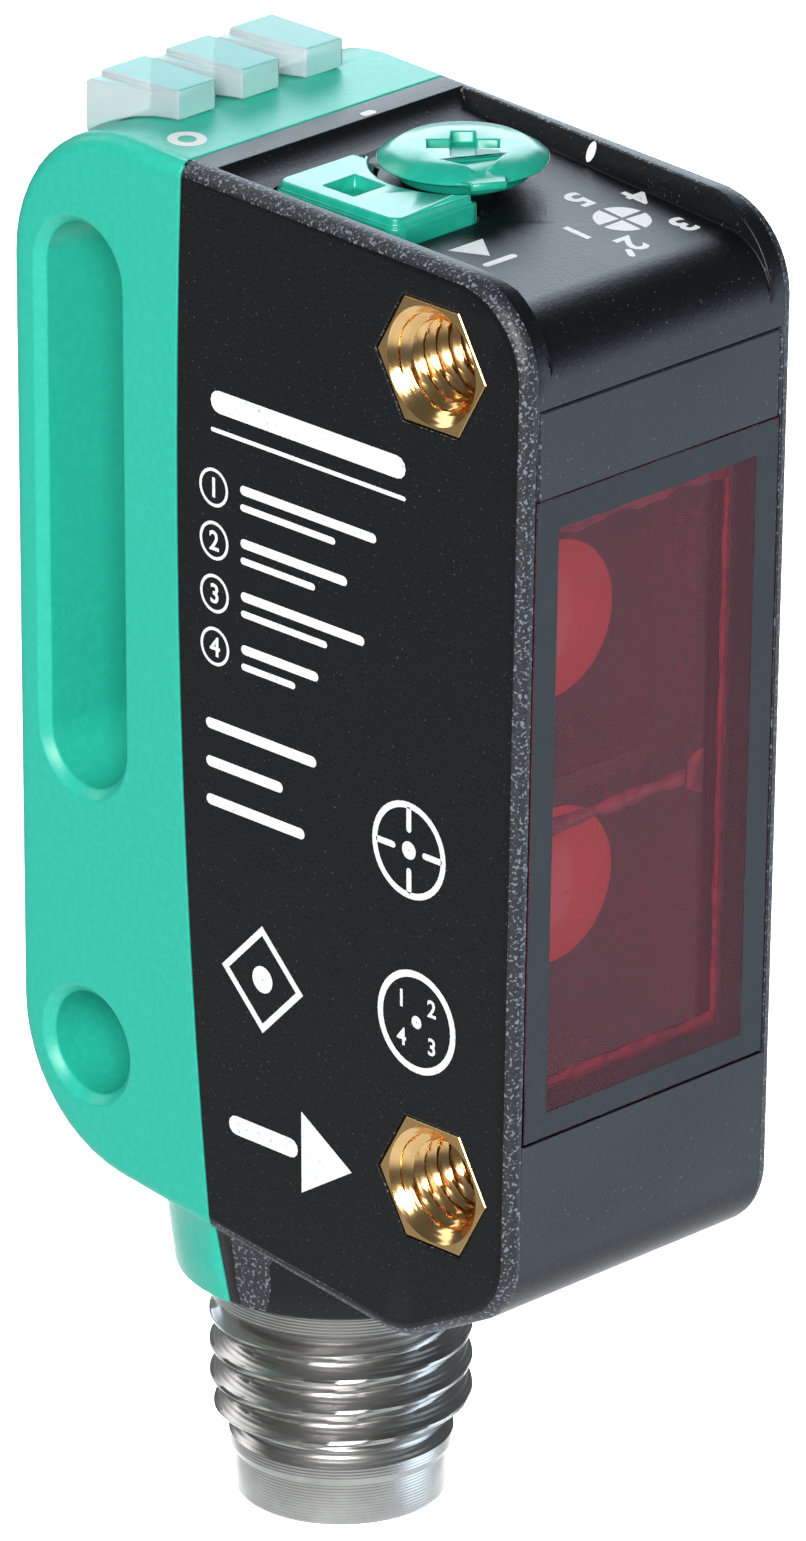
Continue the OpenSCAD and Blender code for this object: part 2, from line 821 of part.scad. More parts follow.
module top_board() {
    color("#1f6b3a")
    difference() {
        translate([-board_w / 2, top_board_y0, top_board_top - board_t])
            cube([board_w, top_board_y1 - top_board_y0, board_t]);
        header_pin_row(header_pin_w + 2 * eps, 0, far);
    }
}

module board_header() {
    header_top = top_board_top - board_t;
    color("#222326")
    difference() {
        translate([-header_l / 2, board_back_y, header_top - header_h])
            cube([header_l, header_depth, header_h]);
        header_pin_row(header_pin_w + 2 * eps, 0, far);
    }
}

module header_pins() {
    color("#d8b458")
    header_pin_row(header_pin_w, top_board_top - board_t - header_h - header_pin_out,
                   top_board_top + header_pin_out);
}

// ---- Mode knob and its switch ----

module rotary_switch() {
    color("#2a2c31")
    difference() {
        translate([knob_x - switch_w / 2, knob_y - switch_w / 2, top_board_top])
            cube([switch_w, switch_w, switch_h]);
        translate([knob_x, knob_y, top_board_top + rotor_floor])
            cylinder(r = rotor_r + run_clear, h = switch_h);
    }
}

module switch_rotor() {
    rotor_z0 = top_board_top + rotor_floor + rotor_gap;
    rotor_h = switch_h - rotor_floor - rotor_gap;
    color("#e8e2d0")
    translate([knob_x, knob_y, rotor_z0])
        difference() {
            cylinder(r = rotor_r, h = rotor_h);
            rotate([0, 0, knob_pointer_angle])
                translate([-blade_w / 2 - eps, -blade_t / 2 - eps, rotor_h - blade_drop - blade_fit])
                    cube([blade_w + 2 * eps, blade_t + 2 * eps, far]);
        }
}

module knob_disc() {
    cylinder(r = knob_r, h = knob_rim_t);
    translate([0, 0, knob_rim_t])
        cylinder(r1 = knob_r, r2 = knob_r - knob_bevel, h = knob_dome);
    rotate([0, 0, knob_pointer_angle])
        translate([0, -knob_pointer_w / 2, 0])
            cube([knob_r + knob_pointer_out, knob_pointer_w, knob_pointer_t]);
}

module mode_knob() {
    disc_top = knob_rim_t + knob_dome;
    shaft_z0 = deck_under_z - switch_gap + 0.05;
    hub_z0 = panel_at(knob_y + knob_hub_r) + 0.1;
    color("#45c8b0")
    difference() {
        union() {
            translate([knob_x, knob_y, knob_base_z]) knob_disc();
            translate([knob_x, knob_y, hub_z0])
                cylinder(r = knob_hub_r, h = knob_base_z - hub_z0 + 0.05);
            translate([knob_x, knob_y, shaft_z0])
                cylinder(r = shaft_r, h = knob_base_z - shaft_z0);
            translate([knob_x, knob_y, shaft_z0 - blade_drop])
                rotate([0, 0, knob_pointer_angle])
                    translate([-blade_w / 2, -blade_t / 2, 0])
                        cube([blade_w, blade_t, blade_drop + 0.1]);
        }
        translate([knob_x, knob_y, knob_base_z + disc_top - knob_cross_depth])
            for (turn = [45, 135])
                rotate([0, 0, turn])
                    translate([-knob_cross_l / 2, -knob_cross_w / 2, 0])
                        cube([knob_cross_l, knob_cross_w, 2]);
        translate([knob_x, knob_y, knob_base_z + disc_top - knob_arrow_depth])
            rotate([0, 0, knob_pointer_angle])
                linear_extrude(2)
                    polygon([[knob_cross_l / 2 + knob_arrow_gap, -knob_arrow_w / 2],
                             [knob_cross_l / 2 + knob_arrow_gap, knob_arrow_w / 2],
                             [knob_r - knob_arrow_edge, 0]]);
        translate([knob_x, knob_y, knob_seal_z - seal_groove_h / 2])
            difference() {
                cylinder(r = far, h = seal_groove_h);
                translate([0, 0, -1]) cylinder(r = shaft_r - seal_groove, h = 4);
            }
    }
}

// A small O-ring that sits in a groove on a shaft and clears its bore.
module shaft_ring(x, y, z, shaft) {
    color("#1a1a1c")
    translate([x, y, z])
        rotate_extrude()
            translate([shaft - seal_ring_r + run_clear / 2, 0]) circle(r = seal_ring_r, $fn = 8);
}

// ---- Teach button and its switch ----

module key_switch() {
    color("#3c3e43")
    difference() {
        translate([stem_x - key_body[0] / 2, stem_y - key_body[1] / 2, top_board_top])
            cube(key_body);
        translate([stem_x, stem_y, top_board_top + key_floor])
            cylinder(r = plunger_r + run_clear, h = far);
    }
}

module key_plunger() {
    color("#e9e9ea")
    translate([stem_x, stem_y, plunger_z1 - plunger_h]) cylinder(r = plunger_r, h = plunger_h);
}

module teach_button() {
    cap_h = button_top_z - button_base_z;
    color("#45c8b0")
    difference() {
        union() {
            translate([0, 0, button_base_z]) linear_extrude(cap_h - button_bevel) button_outline();
            translate([0, 0, button_top_z - button_bevel])
                linear_extrude(button_bevel) button_outline(-button_bevel / 2);
            translate([stem_x, stem_y, plunger_z1])
                cylinder(r = stem_r, h = button_base_z - plunger_z1 + 0.1);
        }
        translate([stem_x - pit_w / 2, stem_y - pit_w / 2 + pit_shift, button_top_z - pit_depth])
            cube([pit_w, pit_w, 2]);
        translate([stem_x, stem_y, button_seal_z - seal_groove_h / 2])
            difference() {
                cylinder(r = far, h = seal_groove_h);
                translate([0, 0, -1]) cylinder(r = stem_r - seal_groove, h = 4);
            }
    }
}

// ---- Indicator windows ----

function light_x(i) = (i - 1) * light_pitch;

// Plan outlines of one window's visible head: the straight block, and the lower flare beside it.
function light_block(i) = [
    [light_x(i) - light_w / 2, light_y0],
    [light_x(i) + light_w / 2, light_y0],
    [light_x(i) + light_w / 2, light_y0 + light_l],
    [light_x(i) - light_w / 2 - light_flare / 4, light_y0 + light_l],
];
function light_side(i) = [
    [light_x(i) - light_w / 2, light_y0],
    [light_x(i), light_y0],
    [light_x(i), light_y0 + light_l],
    [light_x(i) - light_w / 2 - light_flare, light_y0 + light_l],
];

// The stretch of the guide that passes through the cover's roof.
module light_neck(i, grow = 0) {
    neck_w = light_w - 2 * light_neck_inset;
    translate([light_x(i) - neck_w / 2 - grow, light_y0 + light_neck_y - grow, light_foot_z1 - 0.3])
        cube([neck_w + 2 * grow, light_neck_l + 2 * grow, far / 4]);
}

module light_window_hole(i) {
    light_neck(i, light_gap);
}

module light_window(i) {
    head_top = top_at(light_y0) + light_h;
    head_base = top_at(light_y0) - 3;
    foot_w = light_w - 2 * light_neck_inset;
    foot_l = light_y0 + light_neck_y + light_neck_l - light_foot_y0;
    foot_x = light_x(i) - foot_w / 2;
    leg_z0 = top_board_top + indicator_h + indicator_gap;
    color("#b9ece6")
    union() {
        difference() {
            translate([0, 0, head_base]) {
                linear_extrude(head_top - head_base) polygon(light_block(i));
                linear_extrude(head_top - head_base - light_shoulder) polygon(light_side(i));
            }
            envelope(-light_gap);
        }
        intersection() {
            light_neck(i);
            translate([-far / 2, 0, 0]) cube([far, far, top_at(light_y0) + 0.4]);
        }
        translate([foot_x, light_foot_y0, light_foot_z0])
            cube([foot_w, foot_l, light_foot_t]);
        translate([foot_x, light_foot_y0, leg_z0])
            cube([foot_w, light_leg, light_foot_z1 - leg_z0]);
    }
}

module indicator_led(i) {
    color("#f2efe2")
    translate([light_x(i) - indicator_w / 2, light_foot_y0 + indicator_gap, top_board_top])
        cube([indicator_w, indicator_l, indicator_h]);
}

// ---- Plug ----

module plug_shell() {
    color("#b4b6b6")
    translate([0, plug_y, 0])
        difference() {
            rotate_extrude()
                polygon([
                    [plug_bore_r, plug_z0], [sleeve_r - tip_land, plug_z0],
                    [sleeve_r - tip_land + tip_chamfer, plug_z0 + tip_chamfer],
                    [sleeve_r - snap_depth, snap_z - snap_depth], [sleeve_r, snap_z + snap_depth],
                    [sleeve_r, thread_z0 - undercut_len - undercut_taper],
                    [undercut_r, thread_z0 - undercut_len],
                    each thread_profile,
                    [relief_r, shank_z],
                    [thread_r, shank_z], [thread_r, collar_z0],
                    [collar_r, collar_z0], [collar_r, plug_ring_z - plug_groove_half],
                    [collar_r - plug_groove_depth, plug_ring_z - plug_groove_half],
                    [collar_r - plug_groove_depth, plug_ring_z + plug_groove_half],
                    [collar_r, plug_ring_z + plug_groove_half], [collar_r, plug_top_z],
                    [plug_bore_r, plug_top_z],
                ]);
            translate([-key_w / 2, plug_bore_r - 0.1, plug_z0 - 1])
                cube([key_w, key_depth + 0.1, key_l + 1]);
        }
}

module plug_seal() {
    color("#1a1a1c")
    translate([0, plug_y, plug_ring_z])
        rotate_extrude() translate([collar_r - plug_ring_r, 0]) circle(r = plug_ring_r, $fn = 8);
}

module plug_insert() {
    color("#26282c")
    translate([0, plug_y, 0])
        difference() {
            translate([0, 0, insert_face_z])
                cylinder(r = plug_bore_r - pin_fit, h = plug_top_z - insert_face_z);
            for (p = pin_places)
                translate([p[0], p[1], 0])
                    cylinder(r = pin_r + pin_fit, h = far, center = true, $fn = 32);
        }
}

module contact_pin(i) {
    color("#d8b458")
    translate([pin_places[i][0], plug_y + pin_places[i][1], pin_tip_z])
        union() {
            cylinder(r1 = pin_r - pin_tip_taper / 2, r2 = pin_r, h = pin_tip_taper, $fn = 32);
            translate([0, 0, pin_tip_taper])
                cylinder(r = pin_r, h = pin_top_z - pin_tip_z - pin_tip_taper, $fn = 32);
        }
}

// A straight wire between two points that runs a little past the second one.
module wire(from, to, r) {
    d = to - from;
    length = norm(d);
    translate(from)
        rotate([0, acos(d[2] / length), atan2(d[1], d[0])])
            cylinder(r = r, h = length + 0.6 * r, $fn = 8);
}

module plug_leads() {
    color("#a8432e")
    for (i = [0:3]) {
        foot = [pin_places[i][0], plug_y + pin_places[i][1], pin_top_z];
        elbow = foot + [0, 0, lead_stub];
        bend = [lead_x[i], lead_y, pin_top_z + lead_stub + lead_rises[i]];
        wire(foot, elbow, lead_r);
        wire(elbow, bend, lead_r);
        wire(bend, [lead_x[i], lead_y, lead_top_z], lead_r);
    }
}

front_housing();
rear_cover();
cover_seal();
threaded_insert(insert_pitch);  // insert_upper
threaded_insert(0);  // insert_lower
front_window();
window_seal();
optics_carrier();
lens(emitter_z, "#d8405a");  // emitter_lens
lens(receiver_z, "#d8405a");  // receiver_lens
emitter_led();
receiver_diode();
main_board();
board_chip(controller, 0, emitter_z + controller_rise);  // controller_chip
board_chip(driver, 0, driver_z);  // driver_chip
board_chip(amplifier, 0, shield_z);  // amplifier_chip
receiver_shield();
board_capacitors();
top_board();
board_header();
header_pins();
rotary_switch();
switch_rotor();
mode_knob();
shaft_ring(knob_x, knob_y, knob_seal_z, shaft_r);  // knob_seal
key_switch();
key_plunger();
teach_button();
shaft_ring(stem_x, stem_y, button_seal_z, stem_r);  // button_seal
for (i = [0:2]) {
    light_window(i);
    indicator_led(i);
}
plug_shell();
plug_seal();
plug_insert();
for (i = [0:3])
    contact_pin(i);
plug_leads();
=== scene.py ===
"""Miniature photoelectric sensor with a threaded four-pin plug, dressed part by part."""

from __future__ import annotations

import json
import logging
import math
from dataclasses import dataclass, field
from enum import Enum
from typing import Callable, Iterable, Sequence

import bmesh
import bpy
from mathutils import Matrix, Vector
from mathutils.bvhtree import BVHTree

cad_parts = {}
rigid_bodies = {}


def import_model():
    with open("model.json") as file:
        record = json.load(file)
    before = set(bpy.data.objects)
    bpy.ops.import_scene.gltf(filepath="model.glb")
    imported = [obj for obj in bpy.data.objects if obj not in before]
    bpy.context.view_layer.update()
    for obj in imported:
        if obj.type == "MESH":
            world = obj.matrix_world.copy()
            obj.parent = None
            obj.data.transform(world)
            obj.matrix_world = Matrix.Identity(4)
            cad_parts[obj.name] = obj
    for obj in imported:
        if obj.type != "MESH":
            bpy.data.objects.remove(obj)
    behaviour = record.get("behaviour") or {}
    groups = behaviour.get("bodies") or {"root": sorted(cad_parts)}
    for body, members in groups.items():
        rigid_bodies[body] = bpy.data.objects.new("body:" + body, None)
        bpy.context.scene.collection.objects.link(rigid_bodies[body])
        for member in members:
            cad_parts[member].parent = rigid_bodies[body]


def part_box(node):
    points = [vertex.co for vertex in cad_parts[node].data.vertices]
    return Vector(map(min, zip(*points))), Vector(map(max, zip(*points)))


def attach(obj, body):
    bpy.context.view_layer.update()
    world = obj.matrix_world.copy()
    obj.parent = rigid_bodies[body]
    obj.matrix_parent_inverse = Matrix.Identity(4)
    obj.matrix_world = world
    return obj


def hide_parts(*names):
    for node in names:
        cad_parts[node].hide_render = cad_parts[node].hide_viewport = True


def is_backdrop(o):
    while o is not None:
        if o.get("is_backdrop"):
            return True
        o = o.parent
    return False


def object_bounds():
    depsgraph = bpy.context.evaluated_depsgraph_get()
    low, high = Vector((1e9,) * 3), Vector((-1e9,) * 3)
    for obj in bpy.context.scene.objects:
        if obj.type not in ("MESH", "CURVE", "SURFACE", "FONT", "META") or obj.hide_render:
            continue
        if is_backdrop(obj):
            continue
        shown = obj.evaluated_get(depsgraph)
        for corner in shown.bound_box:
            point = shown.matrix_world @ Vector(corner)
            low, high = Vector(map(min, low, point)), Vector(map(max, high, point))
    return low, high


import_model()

LOG = logging.getLogger("sensor")
MM = 0.001
EDGE_ANGLE = math.radians(34)
Colour = tuple[float, float, float, float]
Socket = bpy.types.NodeSocket
Spot = tuple[float, float]
Outline = tuple[list[Spot], list[list[int]]]


class Axis(Enum):
    """Direction that turning marks are spaced along."""

    X = "X"
    Z = "Z"


class Body(Enum):
    """Rigid groups of the assembly."""

    SENSOR = "sensor_body"
    KNOB = "knob"
    BUTTON = "button"


def linear(code: str) -> Colour:
    """Turn an sRGB hex colour into linear light.

    Args:
        code: Colour as #rrggbb.

    Returns:
        Red, green, blue and full alpha.
    """
    parts = [int(code[i : i + 2], 16) / 255 for i in (1, 3, 5)]
    red, green, blue = (
        p / 12.92 if p <= 0.04045 else ((p + 0.055) / 1.055) ** 2.4 for p in parts
    )
    return (red, green, blue, 1.0)


def per_mm(size: float) -> float:
    """Texture scale whose features are about size millimetres across."""
    return 1 / (size * MM)


def add_node(
    tree: bpy.types.NodeTree,
    kind: str,
    settings: dict | None = None,
    links: dict | None = None,
) -> bpy.types.Node:
    """Add a shader node with its settings and incoming links.

    Args:
        tree: Node tree that receives the node.
        kind: Blender's name of the node type.
        settings: Attribute names, or input names and indices, with their values.
        links: Input names or indices with the output socket that feeds each.

    Returns:
        The new node.
    """
    node = tree.nodes.new(kind)
    for key, value in (settings or {}).items():
        if isinstance(key, str) and hasattr(node, key):
            setattr(node, key, value)
        else:
            node.inputs[key].default_value = value
    for key, socket in (links or {}).items():
        tree.links.new(socket, node.inputs[key])
    return node


# ---- Finishes ----


@dataclass
class Shading:
    """A material's nodes while a finish sets them up."""

    tree: bpy.types.NodeTree
    shader: bpy.types.Node
    place: Socket

    def noise(self, size_mm: float, detail: float, **more: float) -> Socket:
        """Add a noise pattern.

        Args:
            size_mm: Size of its features, in millimetres.
            detail: How many finer layers it has.
            more: Other inputs of the noise node.

        Returns:
            Its value.
        """
        settings = {"Scale": per_mm(size_mm), "Detail": detail, **more}
        links = {"Vector": self.place}
        return add_node(self.tree, "ShaderNodeTexNoise", settings, links).outputs["Fac"]

    def spread(self, value: Socket, **limits: float) -> Socket:
        """Map a value onto a new range.

        Args:
            value: The value.
            limits: Settings of the range by their names, with _ for a space.

        Returns:
            The mapped value.
        """
        settings = {name.replace("_", " "): limit for name, limit in limits.items()}
        return add_node(self.tree, "ShaderNodeMapRange", settings, {"Value": value}).outputs[0]

    def tint(self, colour: str, other: str, share: Socket) -> None:
        """Mix two colours into the base colour.

        Args:
            colour: Colour where the share is 0.
            other: Colour where the share is 1.
            share: Share of the other colour.
        """
        settings = {"data_type": "RGBA", 6: linear(colour), 7: linear(other)}
        mix = add_node(self.tree, "ShaderNodeMix", settings, {0: share})
        self.feed("Base Color", mix.outputs[2])

    def gloss(self, pattern: Socket, low: float, high: float) -> None:
        """Let the roughness follow a pattern.

        Args:
            pattern: Value from 0 to 1.
            low: Roughness where it is 0.
            high: Roughness where it is 1.
        """
        self.feed("Roughness", self.spread(pattern, To_Min=low, To_Max=high))

    def bump(
        self, height: Socket, depth_mm: float, strength: float = 1.0
    ) -> None:
        """Raise the surface by a pattern.

        Args:
            height: The pattern.
            depth_mm: Its depth, in millimetres.
            strength: Share of that depth that shows.
        """
        settings = {"Strength": strength, "Distance": depth_mm * MM}
        bump = add_node(self.tree, "ShaderNodeBump", settings, {"Height": height})
        self.feed("Normal", bump.outputs[0])

    def feed(self, name: str, socket: Socket) -> None:
        """Link a socket to one of the shader's inputs."""
        self.tree.links.new(socket, self.shader.inputs[name])

    def fix(self, settings: dict[str, float | Colour]) -> None:
        """Set the shader's inputs that stay constant."""
        for name, value in settings.items():
            self.shader.inputs[name].default_value = value


@dataclass(frozen=True)
class Finish:
    """A surface finish: the material of one kind of piece."""

    name: str

    def material(self) -> bpy.types.Material:
        """Make the material, or return the one already made.

        Returns:
            The material with its nodes in place.
        """
        found = bpy.data.materials.get(self.name)
        if found is not None:
            return found
        made = bpy.data.materials.new(self.name)
        made.use_nodes = True
        tree = made.node_tree
        tree.nodes.clear()
        place = add_node(tree, "ShaderNodeTexCoord").outputs["Object"]
        shader = add_node(tree, "ShaderNodeBsdfPrincipled")
        self.dress(Shading(tree, shader, place))
        add_node(tree, "ShaderNodeOutputMaterial", links={"Surface": shader.outputs[0]})
        return made

    def dress(self, shading: Shading) -> None:
        """Set the material's nodes up for this finish."""
        raise NotImplementedError


@dataclass(frozen=True)
class MouldedPolymer(Finish):
    """Injection-moulded plastic: eroded mould grain, pale specks and soft patches of gloss."""

    colour: str
    speck: str
    roughness: float
    grain_mm: float
    grain_depth_mm: float
    speck_mm: float = 0.16
    speck_level: float = 0.7
    ior: float = 1.55
    specular: float = 0.5
    patch_mm: float = 5.0
    patch_spread: float = 0.06
    speck_fade: float = 0.08

    def dress(self, shading: Shading) -> None:
        """Set grain, specks and gloss patches.

        Args:
            shading: Nodes to set up.
        """
        shading.fix({"IOR": self.ior, "Specular IOR Level": self.specular})
        shading.bump(shading.noise(self.grain_mm, 3.0, Roughness=0.6), self.grain_depth_mm)
        start, end = self.speck_level, self.speck_level + self.speck_fade
        specks = shading.spread(shading.noise(self.speck_mm, 1.0), From_Min=start, From_Max=end)
        shading.tint(self.colour, self.speck, specks)
        low, high = self.roughness - self.patch_spread, self.roughness + self.patch_spread
        shading.gloss(shading.noise(self.patch_mm, 2.0), low, high)


@dataclass(frozen=True)
class TurnedMetal(Finish):
    """Metal from the lathe: fine feed marks round the axis and a slight stain."""

    colour: str
    stain: str
    roughness: float
    axis: Axis
    feed_mm: float = 0.09
    mark_depth_mm: float = 0.004
    stain_mm: float = 0.9

    def dress(self, shading: Shading) -> None:
        """Set feed marks, stain and gloss.

        Args:
            shading: Nodes to set up.
        """
        shading.fix({"Metallic": 1.0})
        # A wave's bands repeat every 0.314 / scale of its coordinate.
        marks = add_node(
            shading.tree,
            "ShaderNodeTexWave",
            {
                "wave_type": "BANDS",
                "bands_direction": self.axis.value,
                "Scale": 0.314 / (self.feed_mm * MM),
                "Distortion": 0.4,
                "Detail": 2.0,
            },
            {"Vector": shading.place},
        )
        shading.bump(marks.outputs["Fac"], self.mark_depth_mm)
        cloud = shading.noise(self.stain_mm, 4.0)
        shading.tint(self.colour, self.stain, cloud)
        shading.gloss(cloud, self.roughness - 0.07, self.roughness + 0.1)


@dataclass(frozen=True)
class TintedAcrylic(Finish):
    """Clear plastic coloured through: polished faces with flow lines, a few dust points and a
    painted glow.
    """

    colour: str
    deep: str
    roughness: float
    see_through: float
    flow_mm: float = 3.0
    # Emission strength: a painted glow on a part that is no lamp.
    glow: float = 0.0
    ior: float = 1.49
    specular: float = 0.5
    dust_mm: float = 0.2
    dust_depth_mm: float = 0.002

    def dress(self, shading: Shading) -> None:
        """Set tint, flow lines, dust, see-through share and painted glow.

        Args:
            shading: Nodes to set up.
        """
        settings = {
            "IOR": self.ior,
            "Alpha": 1 - self.see_through,
            "Specular IOR Level": self.specular,
            "Roughness": self.roughness,
            "Emission Strength": self.glow,
            "Emission Color": linear(self.colour),
        }
        shading.fix(settings)
        shading.tint(self.colour, self.deep, shading.noise(self.flow_mm, 3.0, Distortion=0.6))
        shading.bump(shading.noise(self.dust_mm, 2.0), self.dust_depth_mm, 0.4)


@dataclass(frozen=True)
class PrintedInk(Finish):
    """Pad-printed ink: matt, slightly uneven in strength where it sits on the grain."""

    colour: str
    thin: str
    roughness: float = 0.62
    grain_mm: float = 0.15
    grain_depth_mm: float = 0.006

    def dress(self, shading: Shading) -> None:
        """Set the ink's strength and grain.

        Args:
            shading: Nodes to set up.
        """
        shading.fix({"Roughness": self.roughness})
        grain = shading.noise(self.grain_mm, 3.0)
        shading.tint(self.colour, self.thin, shading.spread(grain, From_Min=0.62, From_Max=0.8))
        shading.bump(grain, self.grain_depth_mm, 0.6)


# Glass-filled polyester from an eroded mould: near black, with a fine grain and a few pale glints.
BLACK_PBT = MouldedPolymer(
    "black_pbt_eroded", "#090a0e", "#454a52", 0.4, 0.12, 0.01, 0.1, 0.7, specular=0.32
)
# Same plastic on the rounded rims: coarser grain, lighter grey and pale specks as painted
# highlight.
BLACK_PBT_RIM_HIGHLIGHT = MouldedPolymer(
    "black_pbt_rim_painted_highlight", "#1e2126", "#737c85", 0.46, 0.13, 0.03, 0.1, 0.57, specular=0.6
)
# Polyester coloured through, from a finely blasted mould: an even satin turquoise.
TURQUOISE_PBT = MouldedPolymer(
    "turquoise_pbt_satin", "#28bba3", "#2cbfa7", 0.4, 0.14, 0.006, 0.25, 0.5
)
# The same plastic from a polished mould, on the knob and the button: crisper highlights.
TURQUOISE_POLISHED = MouldedPolymer(
    "turquoise_pbt_polished", "#1ea88f", "#23ae95", 0.24, 0.35, 0.003, 0.5, 0.5
)
# Smooth black moulding of the inner carrier, reddened by the light behind the window.
CARRIER_ABS = MouldedPolymer("carrier_abs_smooth", "#5c0814", "#8a1222", 0.5, 0.3, 0.004, 0.5, 0.62)
# Black polyamide of switches, header and plug insert: dull, with a faint grain.
BLACK_POLYAMIDE = MouldedPolymer("black_polyamide_moulded", "#1b1c1f", "#3a3b3f", 0.5, 0.2, 0.006)
# White acetal of the moving switch parts: waxy and smooth.
WHITE_ACETAL = MouldedPolymer("white_acetal_moulded", "#e6e1d6", "#f3f0e8", 0.35, 0.3, 0.003)
# Nitrile rubber of the seals: dark, matt and slightly dusty.
NITRILE_RUBBER = MouldedPolymer("nitrile_rubber_pressed", "#17181a", "#2f3033", 0.7, 0.12, 0.006)
# Glass-epoxy laminate under green solder mask: glossy over a faint weave.
GREEN_LAMINATE = MouldedPolymer("fr4_green_mask", "#0f5a30", "#1d7a45", 0.3, 0.35, 0.008, 0.5, 0.55)
# Moulded epoxy of the chips: matt charcoal.
EPOXY_CHIP = MouldedPolymer("epoxy_chip_moulded", "#17181b", "#2c2d31", 0.6, 0.08, 0.005)
# Fired ceramic of the capacitors: tan and slightly glossy.
TAN_CERAMIC = MouldedPolymer("ceramic_tan_fired", "#8a6a45", "#a48055", 0.35, 0.1, 0.004)
# Cast epoxy of the light-emitting parts: pale and clear-looking.
CAST_EPOXY = MouldedPolymer("epoxy_pale_cast", "#e4dcc4", "#f4efe0", 0.2, 0.4, 0.002)
# Wire insulation: smooth red-brown vinyl.
RED_VINYL = MouldedPolymer("vinyl_red_extruded", "#8e2f22", "#a2483a", 0.45, 0.3, 0.003)
# Free-cutting brass, turned along the insert's axis: warm gold with fine rings.
TURNED_BRASS = TurnedMetal("brass_turned", "#f2cf96", "#dbaa68", 0.16, Axis.X, 0.12, 0.002)
# Nickel-plated brass, turned along the plug's axis: grey with soft streaks round it.
TURNED_NICKEL = TurnedMetal("nickel_plated_turned", "#c9c8c5", "#a09f9c", 0.3, Axis.Z, 0.1, 0.004)
# Hard gold on the contacts: bright and warm.
PLATED_GOLD = TurnedMetal("gold_plated_contact", "#f2cf84", "#e0b560", 0.18, Axis.Z, 0.3, 0.002)
# Tinned sheet of the shield can: bright grey with a rolled grain.
TINNED_SHEET = TurnedMetal("tinned_sheet_rolled", "#c9cbcd", "#aeb0b3", 0.35, Axis.X, 0.2, 0.003)
# Cast acrylic window, dark red and polished: the optics show through it.
RED_ACRYLIC = TintedAcrylic("red_acrylic_polished", "#6e1226", "#4c1020", 0.05, 0.62, specular=0.28)
# Black border sprayed behind the window's rim: dark slate under the clear surface.
SPRAYED_BORDER = MouldedPolymer(
    "border_black_sprayed", "#0d0f13", "#14171b", 0.34, 0.4, 0.002, 0.5, 0.6, specular=0.2
)
# Adhesive and flash of the red moulding behind the window: dull red and uneven.
RED_ADHESIVE = MouldedPolymer("adhesive_red_cured", "#c42439", "#e83c4e", 0.4, 0.5, 0.05, 0.6, 0.45)
# Moulded acrylic lenses in red light, given a painted red glow.
LENS_ACRYLIC_GLOWING = TintedAcrylic("lens_acrylic_painted_glow", "#f2423c", "#c01a26", 0.12, 0.0, 1.1, 0.5)
# Milky polycarbonate light guides: pale cyan with a soft translucent body and a faint painted glow.
MILKY_POLYCARBONATE = TintedAcrylic(
    "milky_polycarbonate_moulded", "#b4dedb", "#90cbc7", 0.4, 0.16, 1.6, 0.04, 1.58, 0.4
)
# The polished top of each guide, where more of the cover's colour comes through, with a fainter
# painted glow.
CLEAR_POLYCARBONATE = TintedAcrylic(
    "clear_polycarbonate_polished", "#74c8c1", "#5fbab2", 0.42, 0.2, 1.2, 0.02, 1.58, 0.4
)
# The guide's thin side wing: greyer and more see-through than its body, with a fainter painted
# glow.
THIN_POLYCARBONATE = TintedAcrylic(
    "thin_polycarbonate_moulded", "#c6cfd4", "#b6c6ca", 0.42, 0.3, 1.4, 0.02, 1.58, 0.4
)
# White pad-printing ink on the black plastic.
WHITE_INK = PrintedInk("white_ink_printed", "#f2f4f4", "#b9bcc0")
# Pale seamless paper under the object.
PALE_PAPER = MouldedPolymer("pale_paper_seamless", "#f4f4f3", "#fafafa", 0.8, 0.6, 0.01, 1.0, 0.6)


# ---- Mesh helpers ----


def wear(obj: bpy.types.Object, finish: Finish) -> None:
    """Give an object one finish all over."""
    if not obj.data.materials:
        obj.data.materials.append(None)
    for place in obj.material_slots:
        place.material = finish.material()


def piece(
    name: str, mesh: bpy.types.Mesh, body: Body, finish: Finish
) -> bpy.types.Object:
    """Put a mesh into the scene as a dressed piece that rides on a body.

    Args:
        name: Name of the new object.
        mesh: Its mesh, in the shared frame.
        body: Rigid group it moves with.
        finish: Surface finish.

    Returns:
        The new object.
    """
    obj = bpy.data.objects.new(name, mesh)
    bpy.context.scene.collection.objects.link(obj)
    wear(obj, finish)
    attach(obj, body.value)
    return obj


def shell_copy(
    node: str, name: str, body: Body, finish: Finish, edge_mm: float
) -> bpy.types.Object:
    """Stand a smooth-shaded copy with softened edges in for a CAD node.

    Args:
        node: CAD node that is replaced.
        name: Name of the new piece.
        body: Rigid group it moves with.
        finish: Surface finish.
        edge_mm: Width of the softened edges.

    Returns:
        The new object.
    """
    work = bmesh.new()
    work.from_mesh(bpy.data.objects[node].data)
    bmesh.ops.remove_doubles(work, verts=work.verts, dist=0.0005 * MM)
    mesh = bpy.data.meshes.new(name)
    work.to_mesh(mesh)
    work.free()
    for layer in ("custom_normal", "sharp_edge", "sharp_face"):
        if layer in mesh.attributes:
            mesh.attributes.remove(mesh.attributes[layer])
    mesh.shade_smooth()
    obj = piece(name, mesh, body, finish)
    soften(obj, node, edge_mm)
    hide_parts(node)
    return obj


